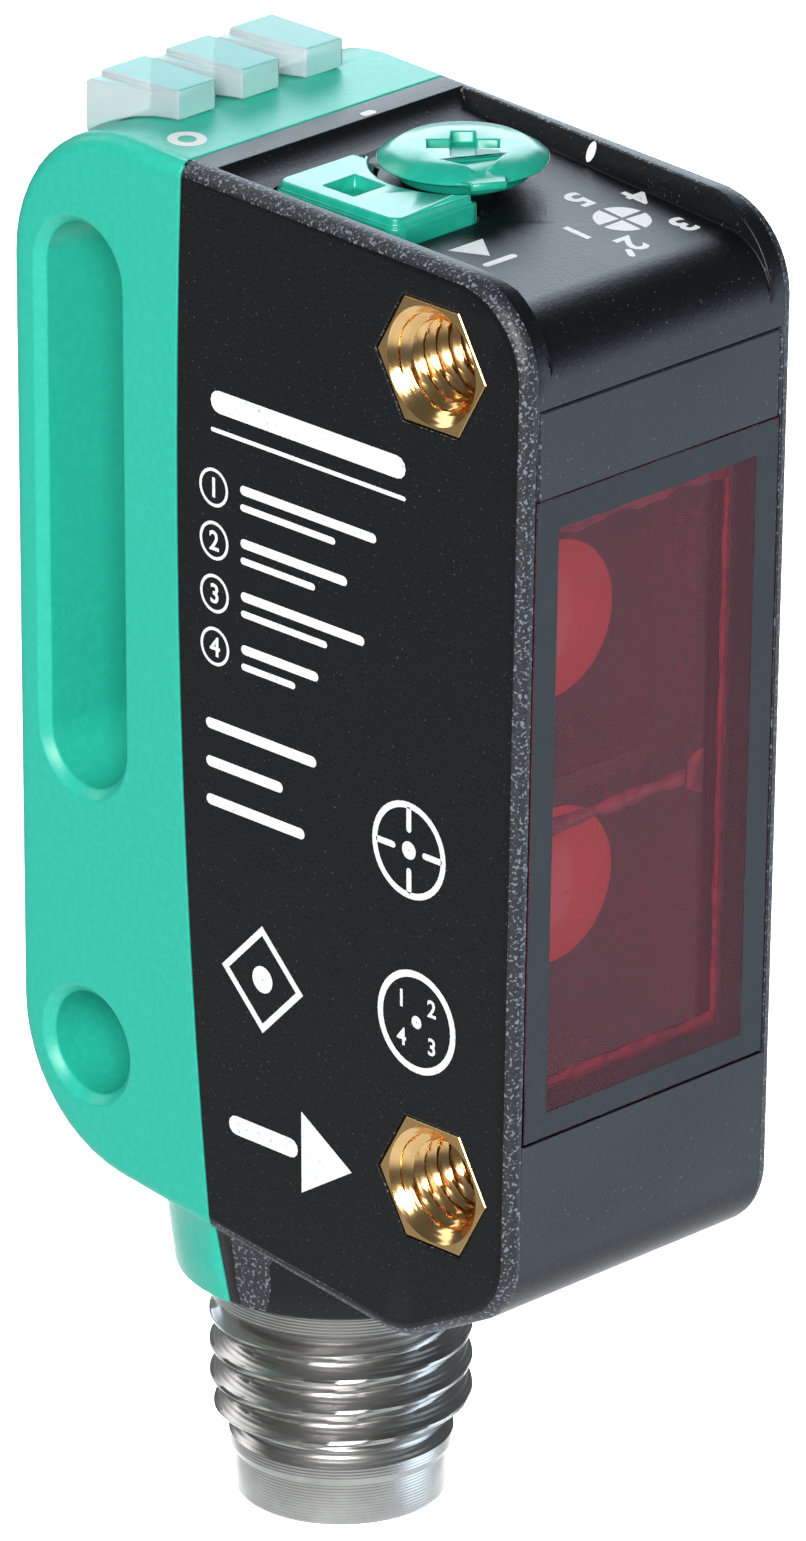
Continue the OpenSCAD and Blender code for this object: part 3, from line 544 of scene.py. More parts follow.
def soften(obj: bpy.types.Object, node: str, edge_mm: float) -> None:
    """Round an object's sharp edges, inside its node's box, and keep its flats flat in shading.

    Args:
        obj: Object that is rounded.
        node: CAD node whose box it stays in.
        edge_mm: Width of the rounded edges.
    """
    bevel = obj.modifiers.new("edges", "BEVEL")
    bevel.width = edge_mm * MM
    bevel.segments = 2
    bevel.limit_method = "ANGLE"
    bevel.angle_limit = EDGE_ANGLE
    bevel.use_clamp_overlap = False
    bpy.context.view_layer.update()
    view = bpy.context.evaluated_depsgraph_get()
    obj.data = bpy.data.meshes.new_from_object(obj.evaluated_get(view))
    obj.modifiers.clear()
    low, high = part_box(node)
    for vertex in obj.data.vertices:
        vertex.co = [min(max(c, a), b) for c, a, b in zip(vertex.co, low, high)]
    flat = obj.modifiers.new("shading", "WEIGHTED_NORMAL")
    flat.mode = "FACE_AREA"
    flat.weight = 50
    flat.keep_sharp = True


def finish_faces(
    obj: bpy.types.Object,
    finish: Finish,
    test: Callable[[bpy.types.MeshPolygon], bool],
) -> None:
    """Give the faces that pass a test their own finish.

    Args:
        obj: Object whose faces are tested.
        finish: Finish for those faces.
        test: Tells whether a face gets it.
    """
    obj.data.materials.append(finish.material())
    index = len(obj.data.materials) - 1
    for face in obj.data.polygons:
        if test(face):
            face.material_index = index


def closed_loft(name: str, rings: Sequence[Sequence[Vector]]) -> bpy.types.Mesh:
    """Join rings of points one after another, and the last one to the first.

    Args:
        name: Name of the mesh.
        rings: Rings with equal numbers of points, in order along the section.

    Returns:
        A closed ring-shaped mesh.
    """
    count = len(rings[0])
    points = [p for ring in rings for p in ring]
    faces = []
    for i in range(len(rings)):
        here, there = i * count, ((i + 1) % len(rings)) * count
        for j in range(count):
            k = (j + 1) % count
            faces.append((here + j, here + k, there + k, there + j))
    mesh = bpy.data.meshes.new(name)
    mesh.from_pydata(points, [], faces)
    work = bmesh.new()
    work.from_mesh(mesh)
    bmesh.ops.recalc_face_normals(work, faces=work.faces)
    work.to_mesh(mesh)
    work.free()
    mesh.shade_smooth()
    return mesh


@dataclass
class Helix:
    """A screw thread as a depth that winds round an axis."""

    pitch: float
    depth: float
    start: float
    end: float
    fade: float = 0.5
    crest: float = 0.14
    flank: float = 0.72

    def cut(self, angle: float, along: float) -> float:
        """Depth of the thread groove at a place.

        Args:
            angle: Angle round the axis, in radians.
            along: Distance along the axis, in millimetres.

        Returns:
            Depth below the crest, in millimetres.
        """
        phase = (along / self.pitch - angle / math.tau) % 1.0
        ridge = abs(phase - 0.5) * 2
        height = min(max((ridge - self.crest) / self.flank, 0.0), 1.0)
        inside = min(along - self.start, self.end - along) / (self.fade * self.pitch)
        return self.depth * (1 - height) * min(max(inside, 0.0), 1.0)

    def steps(self, per_turn: int = 8) -> list[float]:
        """Places along the axis where the thread is sampled.

        Args:
            per_turn: How many of them fall in one turn.

        Returns:
            Distances along the axis, in millimetres.
        """
        count = max(2, round((self.end - self.start) / self.pitch * per_turn))
        return [self.start + (self.end - self.start) * i / count for i in range(count + 1)]


# ---- Printed marks ----


@dataclass
class Plane:
    """Drawing plane of a printed mark, with the surface below it."""

    origin: Vector
    right: Vector
    up: Vector
    surface: BVHTree
    lift_mm: float = 0.004

    def place(self, u: float, v: float) -> Vector:
        """Drop a drawn point onto the surface.

        Args:
            u: Distance to the right of the origin, in millimetres.
            v: Distance above the origin, in millimetres.

        Returns:
            The point just above the surface, in metres.
        """
        normal = self.right.cross(self.up)
        point = (self.origin + self.right * u + self.up * v) * MM
        hit = self.surface.ray_cast(point + normal * 3 * MM, -normal)[0]
        return (hit if hit is not None else point) + normal * self.lift_mm * MM


def ring_outline(spot: Spot, inner: float, outer: float, count: int = 40) -> Outline:
    """Flat ring.

    Args:
        spot: Its centre.
        inner: Inner radius.
        outer: Outer radius.
        count: Number of points round it.

    Returns:
        Its points and faces.
    """
    u, v = spot
    points = [
        (u + r * math.cos(math.tau * i / count), v + r * math.sin(math.tau * i / count))
        for r in (inner, outer)
        for i in range(count)
    ]
    faces = [
        [i, (i + 1) % count, count + (i + 1) % count, count + i] for i in range(count)
    ]
    return points, faces


def bar_outline(spot: Spot, length: float, height: float, turn: float = 0.0) -> Outline:
    """Bar with round ends.

    Args:
        spot: Its centre.
        length: Its length over the round ends.
        height: Its height.
        turn: How far it is turned to the left, in degrees.

    Returns:
        Its points and faces.
    """
    u, v = spot
    half, r, points = length / 2 - height / 2, height / 2, []
    for side in (1, -1):
        for i in range(7):
            a = math.radians(-90 + 30 * i) + (0 if side > 0 else math.pi)
            points.append((side * half + r * math.cos(a), r * math.sin(a)))
    c, s = math.cos(math.radians(turn)), math.sin(math.radians(turn))
    turned = [(u + c * x - s * y, v + s * x + c * y) for x, y in points]
    return turned, [list(range(len(turned)))]


def sector_outline(spot: Spot, radius: float, quarter: int, gap: float) -> Outline:
    """One quarter of a disc, drawn clear of its neighbours.

    Args:
        spot: Centre of the disc.
        radius: Radius of the disc.
        quarter: Which quarter, counted to the left from the right.
        gap: How far its corner stays away from the centre.

    Returns:
        Its points and faces.
    """
    u, v = spot
    turn = math.pi / 2 * quarter
    corner = (u + gap * math.cos(turn + math.pi / 4), v + gap * math.sin(turn + math.pi / 4))
    points, slack = [corner], gap / radius
    for i in range(9):
        a = turn + slack + (math.pi / 2 - 2 * slack) * i / 8
        points.append((u + radius * math.cos(a), v + radius * math.sin(a)))
    return points, [list(range(len(points)))]


def polygon_outline(points: Sequence[Spot]) -> Outline:
    """Filled outline through the given points."""
    return list(points), [list(range(len(points)))]


def numeral_outline(digit: int, spot: Spot, height: float, weight: float = 0.02) -> Outline:
    """A plain numeral.

    Args:
        digit: Its value.
        spot: Its centre.
        height: Its height.
        weight: How far its strokes are fattened, as a share of its size.

    Returns:
        Its points and faces.
    """
    u, v = spot
    curve = bpy.data.curves.new("numeral", "FONT")
    curve.body = str(digit)
    curve.resolution_u = 3
    curve.offset = weight
    holder = bpy.data.objects.new("numeral", curve)
    bpy.context.scene.collection.objects.link(holder)
    shape = bpy.data.meshes.new_from_object(holder)
    xs, ys = [p.co.x for p in shape.vertices], [p.co.y for p in shape.vertices]
    scale = height / (max(ys) - min(ys))
    mid_x, mid_y = (max(xs) + min(xs)) / 2, (max(ys) + min(ys)) / 2
    points = [(u + (x - mid_x) * scale, v + (y - mid_y) * scale) for x, y in zip(xs, ys)]
    faces = [list(f.vertices) for f in shape.polygons]
    bpy.data.objects.remove(holder)
    bpy.data.curves.remove(curve)
    bpy.data.meshes.remove(shape)
    return points, faces


def print_marks(name: str, plane: Plane, outlines: Iterable[Outline]) -> bpy.types.Object:
    """Print outlines onto a surface in white ink.

    Args:
        name: Name of the new piece.
        plane: Where and how they are drawn.
        outlines: The shapes.

    Returns:
        The printed layer as one object.
    """
    points, faces = [], []
    for drawn, cells in outlines:
        base = len(points)
        points += [plane.place(u, v) for u, v in drawn]
        faces += [[base + i for i in cell] for cell in cells]
    mesh = bpy.data.meshes.new(name)
    mesh.from_pydata(points, [], faces)
    normal = plane.right.cross(plane.up)
    work = bmesh.new()
    work.from_mesh(mesh)
    for face in work.faces:
        face.normal_update()
        if face.normal.dot(normal) < 0:
            face.normal_flip()
    bmesh.ops.triangulate(work, faces=work.faces)
    work.to_mesh(mesh)
    work.free()
    return piece(name, mesh, Body.SENSOR, WHITE_INK)


# ---- Sub-assemblies ----


@dataclass
class Housing:
    """Black front shell, turquoise rear cover and the seal between them."""

    edge_mm: float = 0.05
    side_inset_mm: float = 0.012
    rim_w: float = 0.75
    rim_from: float = 0.12
    rim_to: float = 0.985
    shells: dict[str, bpy.types.Object] = field(default_factory=dict)

    def build(self) -> None:
        """Build both shells and dress the seal."""
        for node, name, slot, finish in (
            ("front_housing", "front_shell", "housing", BLACK_PBT),
            ("rear_cover", "rear_shell", "cover", TURQUOISE_PBT),
        ):
            obj = shell_copy(node, name, Body.SENSOR, finish, self.edge_mm)
            self.draw_sides_in(obj)
            self.shells[name] = obj
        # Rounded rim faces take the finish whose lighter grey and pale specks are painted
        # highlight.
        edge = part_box("front_housing")[1][0] - self.rim_w * MM
        finish_faces(
            self.shells["front_shell"],
            BLACK_PBT_RIM_HIGHLIGHT,
            lambda face: abs(face.center.x) > edge
            and self.rim_from < abs(face.normal.x) < self.rim_to,
        )
        wear(bpy.data.objects["cover_seal"], NITRILE_RUBBER)

    def draw_sides_in(self, obj: bpy.types.Object) -> None:
        """Draw the flat sides in by a hair, to leave room for the printed ink."""
        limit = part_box("front_housing")[1][0] - self.side_inset_mm * MM
        for vertex in obj.data.vertices:
            if abs(vertex.co.x) > limit:
                vertex.co.x = math.copysign(limit, vertex.co.x)

    def surface(self, name: str) -> BVHTree:
        """The finished surface of one shell, for marks to lie on."""
        return BVHTree.FromObject(
            self.shells[name], bpy.context.evaluated_depsgraph_get()
        )


@dataclass
class Inserts:
    """The two hexagon brass inserts with their M3 threads."""

    across_flats: float = 3.88
    minor_r: float = 1.25
    major_r: float = 1.5
    sink_r: float = 1.75
    pitch: float = 0.5
    chamfer: float = 0.08
    lip: float = 0.04
    lip_len: float = 0.03
    around: int = 48
    sharp: float = math.radians(28)

    def hexagon(self, shrink: float, x: float, z: float) -> list[Vector]:
        """Points on a hexagon whose corners face front and back.

        Args:
            shrink: How far its flats are drawn in, in millimetres.
            x: Place along the axis, in millimetres.
            z: Height of the axis, in millimetres.

        Returns:
            The points, in metres.
        """
        flat, ring = self.across_flats / 2 - shrink, []
        for i in range(self.around):
            a = math.tau * i / self.around
            r = flat / math.cos(a % (math.pi / 3) - math.pi / 6)
            ring.append(Vector((x, r * math.cos(a), z + r * math.sin(a))) * MM)
        return ring

    def circle(
        self, radius: float, x: float, z: float, thread: Helix | None = None
    ) -> list[Vector]:
        """Points on a circle, cut outwards by the thread where there is one.

        Args:
            radius: Radius of the circle, in millimetres.
            x: Place along the axis, in millimetres.
            z: Height of the axis, in millimetres.
            thread: The thread.

        Returns:
            The points, in metres.
        """
        ring = []
        for i in range(self.around):
            a = math.tau * i / self.around
            r = radius + (thread.cut(a, x) if thread else 0.0)
            ring.append(Vector((x, r * math.cos(a), z + r * math.sin(a))) * MM)
        return ring

    def mesh(self, name: str, low: float, high: float, z: float) -> bpy.types.Mesh:
        """One insert from end to end.

        Args:
            name: Name of the mesh.
            low: Left end, in millimetres.
            high: Right end, in millimetres.
            z: Height of its axis, in millimetres.

        Returns:
            The closed mesh.
        """
        sink = self.sink_r - self.minor_r
        thread = Helix(self.pitch, self.major_r - self.minor_r, low + sink * 0.4, high - sink * 0.4)
        rings = [
            self.hexagon(self.chamfer, low, z),
            self.hexagon(0, low + self.chamfer, z),
            self.hexagon(0, high - self.chamfer, z),
            self.hexagon(self.chamfer, high, z),
            self.circle(self.sink_r + self.lip, high, z),
            self.circle(self.sink_r, high - self.lip_len, z),
        ]
        for x in reversed(thread.steps(7)):
            near_end = min(x - low, high - x)
            cone = max(self.sink_r - near_end, self.minor_r)
            rings.append(self.circle(cone, x, z, thread))
        rings.append(self.circle(self.sink_r, low + self.lip_len, z))
        rings.append(self.circle(self.sink_r + self.lip, low, z))
        return closed_loft(name, rings)

    def build(self) -> None:
        """Build both inserts in place of their plain nodes."""
        for node in ("insert_lower", "insert_upper"):
            low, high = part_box(node)
            z = (low[2] + high[2]) / 2 / MM
            mesh = self.mesh(f"{node}_threaded", low[0] / MM, high[0] / MM, z)
            obj = piece(f"{node}_threaded", mesh, Body.SENSOR, TURNED_BRASS)
            mesh.set_sharp_from_angle(angle=self.sharp)
            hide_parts(node)


@dataclass(frozen=True)
class Strip:
    """A rounded red strip behind the window: its ends across and up, and its width."""

    name: str
    start: Spot
    end: Spot
    width: float


@dataclass
class Optics:
    """Window, carrier, lenses and the red frame moulded behind the window."""

    plate_t: float = 0.9
    plate_h: float = 20.0
    lean: float = 1.5
    border_side: float = 4.02
    border_top: float = 0.95
    border_low: float = 0.75
    border_inset: float = 0.03
    border_lift: float = 0.006
    frame_side: float = 3.92
    frame_top: float = 8.6
    frame_low: float = -8.95
    divider: float = -0.85
    strip_t: float = 0.1

    def leaning(self, back: float) -> Matrix:
        """Frame that leans with the window.

        Args:
            back: How far it lies behind the window's middle plane, in millimetres.

        Returns:
            The place of the window's middle, turned by the lean and moved back.
        """
        low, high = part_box("front_window")
        middle = Matrix.Translation((Vector(low) + Vector(high)) / 2)
        tilt = Matrix.Rotation(math.radians(self.lean), 4, "X")
        return middle @ tilt @ Matrix.Translation(Vector((0, back, 0)) * MM)

    def lay(self, strip: Strip) -> None:
        """Lay a wavy strip just behind the window.

        Args:
            strip: The strip.
        """
        start, end = (Vector((x, 0, z)) * MM for x, z in (strip.start, strip.end))
        along = end - start
        work = bmesh.new()
        bmesh.ops.create_cube(work, size=1.0)
        for vertex in work.verts:
            vertex.co.x *= along.length
            vertex.co.y *= self.strip_t * MM
            vertex.co.z *= strip.width * MM
        long_edges = [e for e in work.edges if e.calc_length() > along.length * 0.9]
        bmesh.ops.subdivide_edges(work, edges=long_edges, cuts=40)
        for vertex in work.verts:
            x = vertex.co.x / MM
            vertex.co.z *= 1 + 0.22 * (math.sin(x * 2.3) + 0.6 * math.sin(x * 5.1 + 1))
        turn = Matrix.Rotation(-math.atan2(along.z, along.x), 4, "Y")
        shift = self.leaning(self.plate_t / 2 + self.strip_t)
        shift = shift @ Matrix.Translation((start + end) / 2) @ turn
        bmesh.ops.transform(work, matrix=shift, verts=work.verts)
        mesh = bpy.data.meshes.new(strip.name)
        work.to_mesh(mesh)
        work.free()
        mesh.shade_smooth()
        piece(strip.name, mesh, Body.SENSOR, RED_ADHESIVE)

    def border(self) -> None:
        """Spray the border onto the window's rim as a thin frame."""
        half_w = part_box("front_window")[1][0] / MM - self.border_inset
        half_h = self.plate_h / 2 - self.border_inset
        outer = (-half_w, -half_h, half_w, half_h)
        side = self.border_side
        inner = (-side, -half_h + self.border_low, side, half_h - self.border_top)
        shift = self.leaning(-self.plate_t / 2 - self.border_lift)
        points = [
            shift @ (Vector((x, 0, z)) * MM)
            for x0, z0, x1, z1 in (outer, inner)
            for x, z in ((x0, z0), (x1, z0), (x1, z1), (x0, z1))
        ]
        faces = [(i, (i + 1) % 4, 4 + (i + 1) % 4, 4 + i) for i in range(4)]
        mesh = bpy.data.meshes.new("window_border")
        mesh.from_pydata(points, [], faces)
        piece("window_border", mesh, Body.SENSOR, SPRAYED_BORDER)

    def strips(self) -> tuple[Strip, ...]:
        """The red frame's four lines and the divider's edge, which thickens at its end.

        Returns:
            The strips in order.
        """
        side, top, low, split = self.frame_side, self.frame_top, self.frame_low, self.divider
        return (
            Strip("frame_top_line", (-side, top), (side, top), 0.75),
            Strip("frame_right_line", (side, low), (side, top), 0.24),
            Strip("frame_left_line", (-side, low), (-side, top), 0.16),
            Strip("frame_low_line", (-side * 0.8, low), (side, low), 0.4),
            Strip("divider_line", (-side, split), (side - 1.5, split), 0.42),
            Strip("divider_end", (side - 1.35, split), (side - 0.75, split), 1.1),
        )

    def build(self) -> None:
        """Dress the optical parts and add the border, the red frame and the divider's edge."""
        for node, finish in (
            ("front_window", RED_ACRYLIC),
            ("window_seal", NITRILE_RUBBER),
            ("optics_carrier", CARRIER_ABS),
            ("emitter_lens", LENS_ACRYLIC_GLOWING),
            ("receiver_lens", LENS_ACRYLIC_GLOWING),
            ("emitter_led", CAST_EPOXY),
            ("receiver_diode", EPOXY_CHIP),
        ):
            wear(bpy.data.objects[node], finish)
        self.border()
        for strip in self.strips():
            self.lay(strip)


@dataclass
class Electronics:
    """Boards and what is soldered to them."""

    def build(self) -> None:
        """Dress every hidden part."""
        for finish, nodes in (
            (GREEN_LAMINATE, ("main_board", "top_board")),
            (EPOXY_CHIP, ("controller_chip", "driver_chip", "amplifier_chip")),
            (TINNED_SHEET, ("receiver_shield",)),
            (TAN_CERAMIC, ("board_capacitors",)),
            (BLACK_POLYAMIDE, ("board_header", "rotary_switch", "key_switch")),
            (PLATED_GOLD, ("header_pins",)),
            (WHITE_ACETAL, ("switch_rotor", "key_plunger")),
            (NITRILE_RUBBER, ("knob_seal", "button_seal", "plug_seal")),
            (CAST_EPOXY, tuple(f"indicator_led_{s}" for s in ("left", "middle", "right"))),
            (RED_VINYL, ("plug_leads",)),
        ):
            for node in nodes:
                wear(bpy.data.objects[node], finish)


@dataclass
class Controls:
    """Mode knob and teach button."""

    edge_mm: float = 0.07

    def build(self) -> None:
        """Build both with softened edges."""
        for node, body in (("mode_knob", Body.KNOB), ("teach_button", Body.BUTTON)):
            shell_copy(
                node, f"{node}_moulded", body, TURQUOISE_POLISHED, self.edge_mm
            )


@dataclass
class LightWindows:
    """Three milky light guides with a clear top."""

    edge_mm: float = 0.09
    top_mm: float = 0.08
    wing_mm: float = 1.2

    def build(self) -> None:
        """Build the guides."""
        for side in ("left", "middle", "right"):
            node, name = f"light_window_{side}", f"light_guide_{side}"
            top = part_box(node)[1][2]
            guide = shell_copy(
                node, name, Body.SENSOR, MILKY_POLYCARBONATE, self.edge_mm
            )
            finish_faces(
                guide,
                CLEAR_POLYCARBONATE,
                lambda face: face.normal.z > 0.9 and face.center.z > top - self.top_mm * MM,
            )
            finish_faces(
                guide,
                THIN_POLYCARBONATE,
                lambda face: face.normal.x < -0.1 and face.center.z > top - self.wing_mm * MM,
            )


@dataclass
class Plug:
    """Turned plug with its helical M8x1 thread, insert and contacts."""

    bore_r: float = 2.75
    bore_lip: float = 0.06
    crest_r: float = 3.95
    sleeve_r: float = 3.38
    sleeve_len: float = 2.6
    thread_len: float = 3.5
    pitch: float = 1.0
    depth: float = 0.5
    relief: float = 0.5
    run_in: float = 0.35
    run_out: float = 0.2
    run_depth: float = 0.42
    relief_len: float = 0.4
    shank_len: float = 1.8
    collar_r: float = 4.2
    around: int = 96
    sharp: float = math.radians(40)
    # How far each step of the sleeve lies inside its radius, and its height above the mouth.
    sleeve_steps: tuple[Spot, ...] = (
        (0.34, 0.0),
        (0.22, 0.05),
        (0.16, 0.16),
        (0.12, 1.36),
        (0.11, 1.42),
        (0.01, 1.6),
        (0.0, 1.66),
        (0.0, 1.98),
        (0.06, 2.04),
        (0.28, 2.2),
        (0.3, 2.26),
        (0.3, 2.54),
    )

    def ring(
        self, radius: float, z: float, y: float, thread: Helix | None = None
    ) -> list[Vector]:
        """Points round the plug's axis, cut inwards by the thread where there is one.

        Args:
            radius: Radius of the ring, in millimetres.
            z: Its height, in millimetres.
            y: Place of the axis, in millimetres.
            thread: The thread.

        Returns:
            The points, in metres.
        """
        points = []
        for i in range(self.around):
            a = math.tau * i / self.around
            r = radius - (thread.cut(a, z) if thread else 0.0)
            points.append(Vector((r * math.cos(a), y + r * math.sin(a), z)) * MM)
        return points

    def mesh(self, low: float, high: float, y: float) -> bpy.types.Mesh:
        """The shell with its thread.

        Args:
            low: Height of the mouth, in millimetres.
            high: Height of the top, in millimetres.
            y: Place of the axis, in millimetres.

        Returns:
            The closed mesh.
        """
        start = low + self.sleeve_len
        end = start + self.thread_len
        thread = Helix(self.pitch, self.depth, start - 0.3, end + 0.3)
        rings = [self.ring(self.bore_r + self.bore_lip, low, y)]
        for inset, up in self.sleeve_steps:
            rings.append(self.ring(self.sleeve_r - inset, low + up, y))
        relief = self.crest_r - self.relief
        rings.append(self.ring(relief, start, y))
        for z in thread.steps(12):
            if start + 0.04 < z < end - 0.04:
                run = min((z - start) / self.run_in, (end - z) / self.run_out, 1.0)
                crest = self.crest_r - self.run_depth * (1 - run)
                rings.append(self.ring(crest, z, y, thread))
        shank = end + self.relief_len
        shank_top = shank + self.shank_len
        rings += [
            self.ring(relief, end, y),
            self.ring(relief, shank - 0.06, y),
            self.ring(self.crest_r - 0.05, shank, y),
            self.ring(self.crest_r, shank + 0.05, y),
            self.ring(self.crest_r, shank_top, y),
            self.ring(self.collar_r, shank_top, y),
            self.ring(self.collar_r, high, y),
            self.ring(self.bore_r, high, y),
            self.ring(self.bore_r, low + self.bore_lip, y),
        ]
        return closed_loft("plug_threaded", rings)

    def build(self) -> None:
        """Build the shell and dress the inner parts."""
        low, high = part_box("plug_shell")
        y = (low[1] + high[1]) / 2 / MM
        mesh = self.mesh(low[2] / MM, high[2] / MM, y)
        obj = piece("plug_threaded", mesh, Body.SENSOR, TURNED_NICKEL)
        mesh.set_sharp_from_angle(angle=self.sharp)
        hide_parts("plug_shell")
        wear(bpy.data.objects["plug_insert"], BLACK_POLYAMIDE)
        for i in range(1, 5):
            wear(bpy.data.objects[f"contact_pin_{i}"], PLATED_GOLD)


@dataclass
class Markings:
    """Plain printed marks: a numbered dial on the panel and a pin plan on the side."""

    housing: Housing
    dial: Spot = (-2.5, -0.25)
    dial_r: float = 0.85
    dial_gap: float = 0.09
    dial_ring: float = 1.75
    dial_angles: tuple[float, ...] = (357, 54, 130, 209, 270)
    dial_height: float = 1.0
    title: Spot = (-5.0, 22.0)
    title_len: float = 8.0
    list_top: Spot = (-8.9, 19.3)
    list_step: float = 1.65
    list_lengths: tuple[float, ...] = (5.6, 4.4, 5.1, 3.2)
    note_left: float = -9.3
    notes: tuple[Spot, ...] = ((11.9, 4.6), (10.7, 3.2), (9.5, 4.1))
    target: Spot = (-0.9, 10.3)
    target_ring: float = 0.95
    face: Spot = (-0.6, 5.0)
    face_pin: Spot = (0.62, 0.6)
    diamond: Spot = (-7.0, 4.4)
    beam: Spot = (-7.0, -0.6)

    def panel(self) -> list[Outline]:
        """Dial, arrow and index marks of the control panel.

        Returns:
            Their outlines, drawn from the panel's middle.
        """
        u, v = self.dial
        marks = [sector_outline(self.dial, self.dial_r, q, self.dial_gap) for q in range(4)]
        for number, angle in enumerate(self.dial_angles, 1):
            a = math.radians(angle)
            spot = (u + self.dial_ring * math.cos(a), v + self.dial_ring * math.sin(a))
            marks.append(numeral_outline(number, spot, self.dial_height, 0.03))
        marks.append(polygon_outline([(3.1, -1.7), (2.4, -0.7), (1.7, -1.7)]))
        marks.append(bar_outline((2.4, -0.3), 1.3, 0.24))
        marks.append(bar_outline((-0.95, 1.6), 0.55, 0.2, 60))
        return marks

    def text_block(self) -> list[Outline]:
        """Title bars, numbered list and notes, with bars in place of words.

        Returns:
            Their outlines, drawn on the left side.
        """
        u, v = self.title
        marks = [bar_outline((u, v), self.title_len, 0.7)]
        marks.append(bar_outline((u, v - 0.9), self.title_len, 0.14))
        left, top = self.list_top
        for row, length in enumerate(self.list_lengths):
            z, start = top - self.list_step * row, left + 1.1
            marks.append(ring_outline((left, z), 0.5, 0.6, 28))
            marks.append(numeral_outline(row + 1, (left, z), 0.62))
            marks.append(bar_outline((start + length / 2, z + 0.24), length, 0.3))
            marks.append(bar_outline((start + length * 0.35, z - 0.3), length * 0.7, 0.22))
        for z, length in self.notes:
            marks.append(bar_outline((self.note_left + length / 2, z), length, 0.34))
        return marks

    def symbols(self) -> list[Outline]:
        """Axis target, connector face, diamond and beam arrow.

        Returns:
            Their outlines, drawn on the left side.
        """
        u, v = self.target
        marks = [ring_outline((u, v), 1.3, 1.5), ring_outline((u, v), 0.02, 0.28, 24)]
        for turn in (0, 90, 180, 270):
            a = math.radians(turn)
            spot = (u + self.target_ring * math.cos(a), v + self.target_ring * math.sin(a))
            marks.append(bar_outline(spot, 0.8, 0.2, turn))
        u, v = self.face
        marks += [ring_outline((u, v), 1.38, 1.6), ring_outline((u, v), 0.02, 0.2, 20)]
        du, dv = self.face_pin
        for number, (right, up) in enumerate(((-1, 1), (1, 1), (1, -1), (-1, -1)), 1):
            marks.append(numeral_outline(number, (u + du * right, v + dv * up), 0.55))
        u, v = self.diamond
        for tip, inner in ((1.7, 1.4), (-1.7, -1.4)):
            line = [(-1.7, 0), (0, tip), (1.7, 0), (1.4, 0), (0, inner), (-1.4, 0)]
            marks.append(polygon_outline([(u + x, v + y) for x, y in line]))
        marks.append(ring_outline((u, v), 0.02, 0.42, 28))
        u, v = self.beam
        marks.append(bar_outline((u, v), 2.9, 0.6))
        head = [(u + 1.6, v + 1.3), (u + 1.6, v - 1.3), (u + 3.7, v)]
        marks.append(polygon_outline(head))
        return marks

    def build(self) -> None:
        """Print both sets of marks."""
        front = self.housing.surface("front_shell")
        rear = self.housing.surface("rear_shell")
        low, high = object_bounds()
        top, left = Vector((0, 0, high.z / MM)), Vector((low.x / MM, 0, 0))
        panel = Plane(top, Vector((-1, 0, 0)), Vector((0, -1, 0)), front)
        cover = Plane(top, Vector((-1, 0, 0)), Vector((0, -1, 0)), rear)
        side = Plane(left, Vector((0, -1, 0)), Vector((0, 0, 1)), front)
        print_marks("panel_print", panel, self.panel())
        ledge = [bar_outline((-1.35, -9.45), 0.55, 0.3), bar_outline((-4.62, -3.6), 0.35, 0.3, 35)]
        print_marks("ledge_print", panel, ledge)
        print_marks("cover_print", cover, [ring_outline((4.05, -11.4), 0.28, 0.58, 28)])
        print_marks("side_print", side, self.text_block() + self.symbols())


@dataclass(frozen=True)
class SoftLight:
    """A soft square light: position, side and aim in metres, power in watts."""

    name: str
    place: tuple[float, float, float]
    size: float
    power: float
    colour: str = "#ffffff"
    aim: tuple[float, float, float] = (0, 0.006, 0.01)

    def build(self) -> None:
        """Add the light to the scene."""
        data = bpy.data.lights.new(self.name, "AREA")
        data.shape, data.size, data.energy = "SQUARE", self.size, self.power
        data.color = linear(self.colour)[:3]
        obj = bpy.data.objects.new(self.name, data)
        obj.location = self.place
        toward = Vector(self.aim) - Vector(self.place)
        obj.rotation_euler = toward.to_track_quat("-Z", "Y").to_euler()
        bpy.context.scene.collection.objects.link(obj)


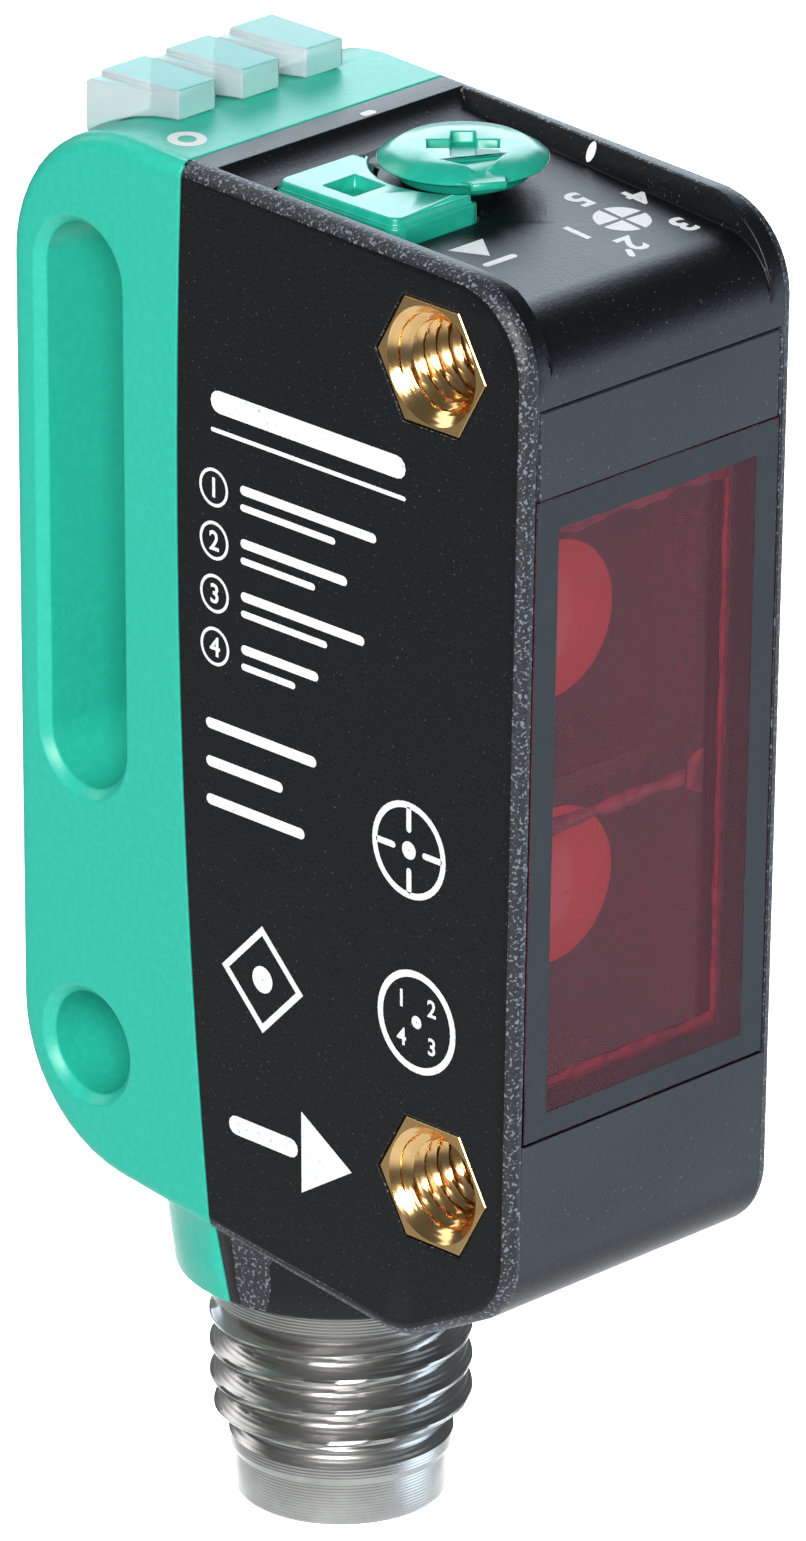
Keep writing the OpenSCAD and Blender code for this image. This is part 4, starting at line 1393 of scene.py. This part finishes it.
@dataclass
class Studio:
    """Floor, lights, sky and camera."""

    azimuth: float = -44.5955
    elevation: float = 22.3574
    roll: float = -0.1203
    distance_mm: float = 409.7
    across_mm: float = -4.7059
    above_mm: float = -1.143
    target_z_mm: float = 12.7
    lens_mm: float = 220.72
    film_mm: float = 24.0
    drop_mm: float = 280.0
    floor_half: float = 6.0
    sky_colour: str = "#eef3f8"
    sky_strength: float = 0.13
    lights: tuple[SoftLight, ...] = (
        SoftLight("key", (-0.38, -0.3, 0.24), 0.3, 3.9),
        SoftLight("front_card", (0.32, -0.33, -0.16), 0.34, 1.0, "#d6ebff"),
        SoftLight("rear_card", (0.32, 0.33, 0.22), 0.34, 1.7, "#e2f2ff"),
        SoftLight("rear_fill", (-0.1, 0.5, 0.3), 0.3, 0.6),
        SoftLight("backdrop", (0.5, 0.5, -0.02), 0.5, 7.0, aim=(0.5, 0.5, -1.0)),
    )

    def camera(self) -> None:
        """Set the camera up on its bearing."""
        a, e, t = (math.radians(v) for v in (self.azimuth, self.elevation, self.roll))
        back = Vector((math.sin(a) * math.cos(e), -math.cos(a) * math.cos(e), math.sin(e)))
        right = Vector((math.cos(a), math.sin(a), 0))
        up = back.cross(right)
        place = back * self.distance_mm + right * self.across_mm + up * self.above_mm
        place = (place + Vector((0, 0, self.target_z_mm))) * MM
        level = right * math.cos(t) + up * math.sin(t)
        stand = up * math.cos(t) - right * math.sin(t)
        data = bpy.data.cameras.new("camera")
        data.sensor_fit, data.sensor_width, data.lens = "AUTO", self.film_mm, self.lens_mm
        data.clip_start, data.clip_end = 0.01, 20
        obj = bpy.data.objects.new("camera", data)
        axes = Matrix((level, stand, back)).transposed().to_4x4()
        obj.matrix_world = Matrix.Translation(place) @ axes
        bpy.context.scene.collection.objects.link(obj)
        bpy.context.scene.camera = obj

    def floor(self) -> None:
        """Roll pale paper out below the object."""
        half = self.floor_half
        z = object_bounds()[0].z - self.drop_mm * MM
        corners = [(-half, -half, z), (half, -half, z), (half, half, z), (-half, half, z)]
        mesh = bpy.data.meshes.new("floor")
        mesh.from_pydata(corners, [], [(0, 1, 2, 3)])
        obj = bpy.data.objects.new("floor", mesh)
        bpy.context.scene.collection.objects.link(obj)
        wear(obj, PALE_PAPER)
        obj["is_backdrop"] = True

    def sky(self) -> None:
        """Fill the surroundings with a faint cool light."""
        world = bpy.data.worlds.new("sky")
        world.use_nodes = True
        inputs = world.node_tree.nodes["Background"].inputs
        inputs["Color"].default_value = linear(self.sky_colour)
        inputs["Strength"].default_value = self.sky_strength
        bpy.context.scene.world = world
        bpy.context.scene.view_settings.view_transform = "Standard"

    def build(self) -> None:
        """Set up floor, lights, sky and camera."""
        self.floor()
        for light in self.lights:
            light.build()
        self.sky()
        self.camera()


def write_sizes() -> None:
    """Bring the view layer up to date.
    """
    bpy.context.view_layer.update()


def main() -> None:
    """Build every sub-assembly in order, then light it."""
    logging.basicConfig(level=logging.INFO, format="%(name)s: %(message)s")
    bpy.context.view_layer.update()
    housing = Housing()
    for part in (
        housing,
        Inserts(),
        Optics(),
        Electronics(),
        Controls(),
        LightWindows(),
        Plug(),
        Markings(housing),
        Studio(),
    ):
        part.build()
        LOG.info("built %s", type(part).__name__)
    write_sizes()


if __name__ == "__main__":
    main()
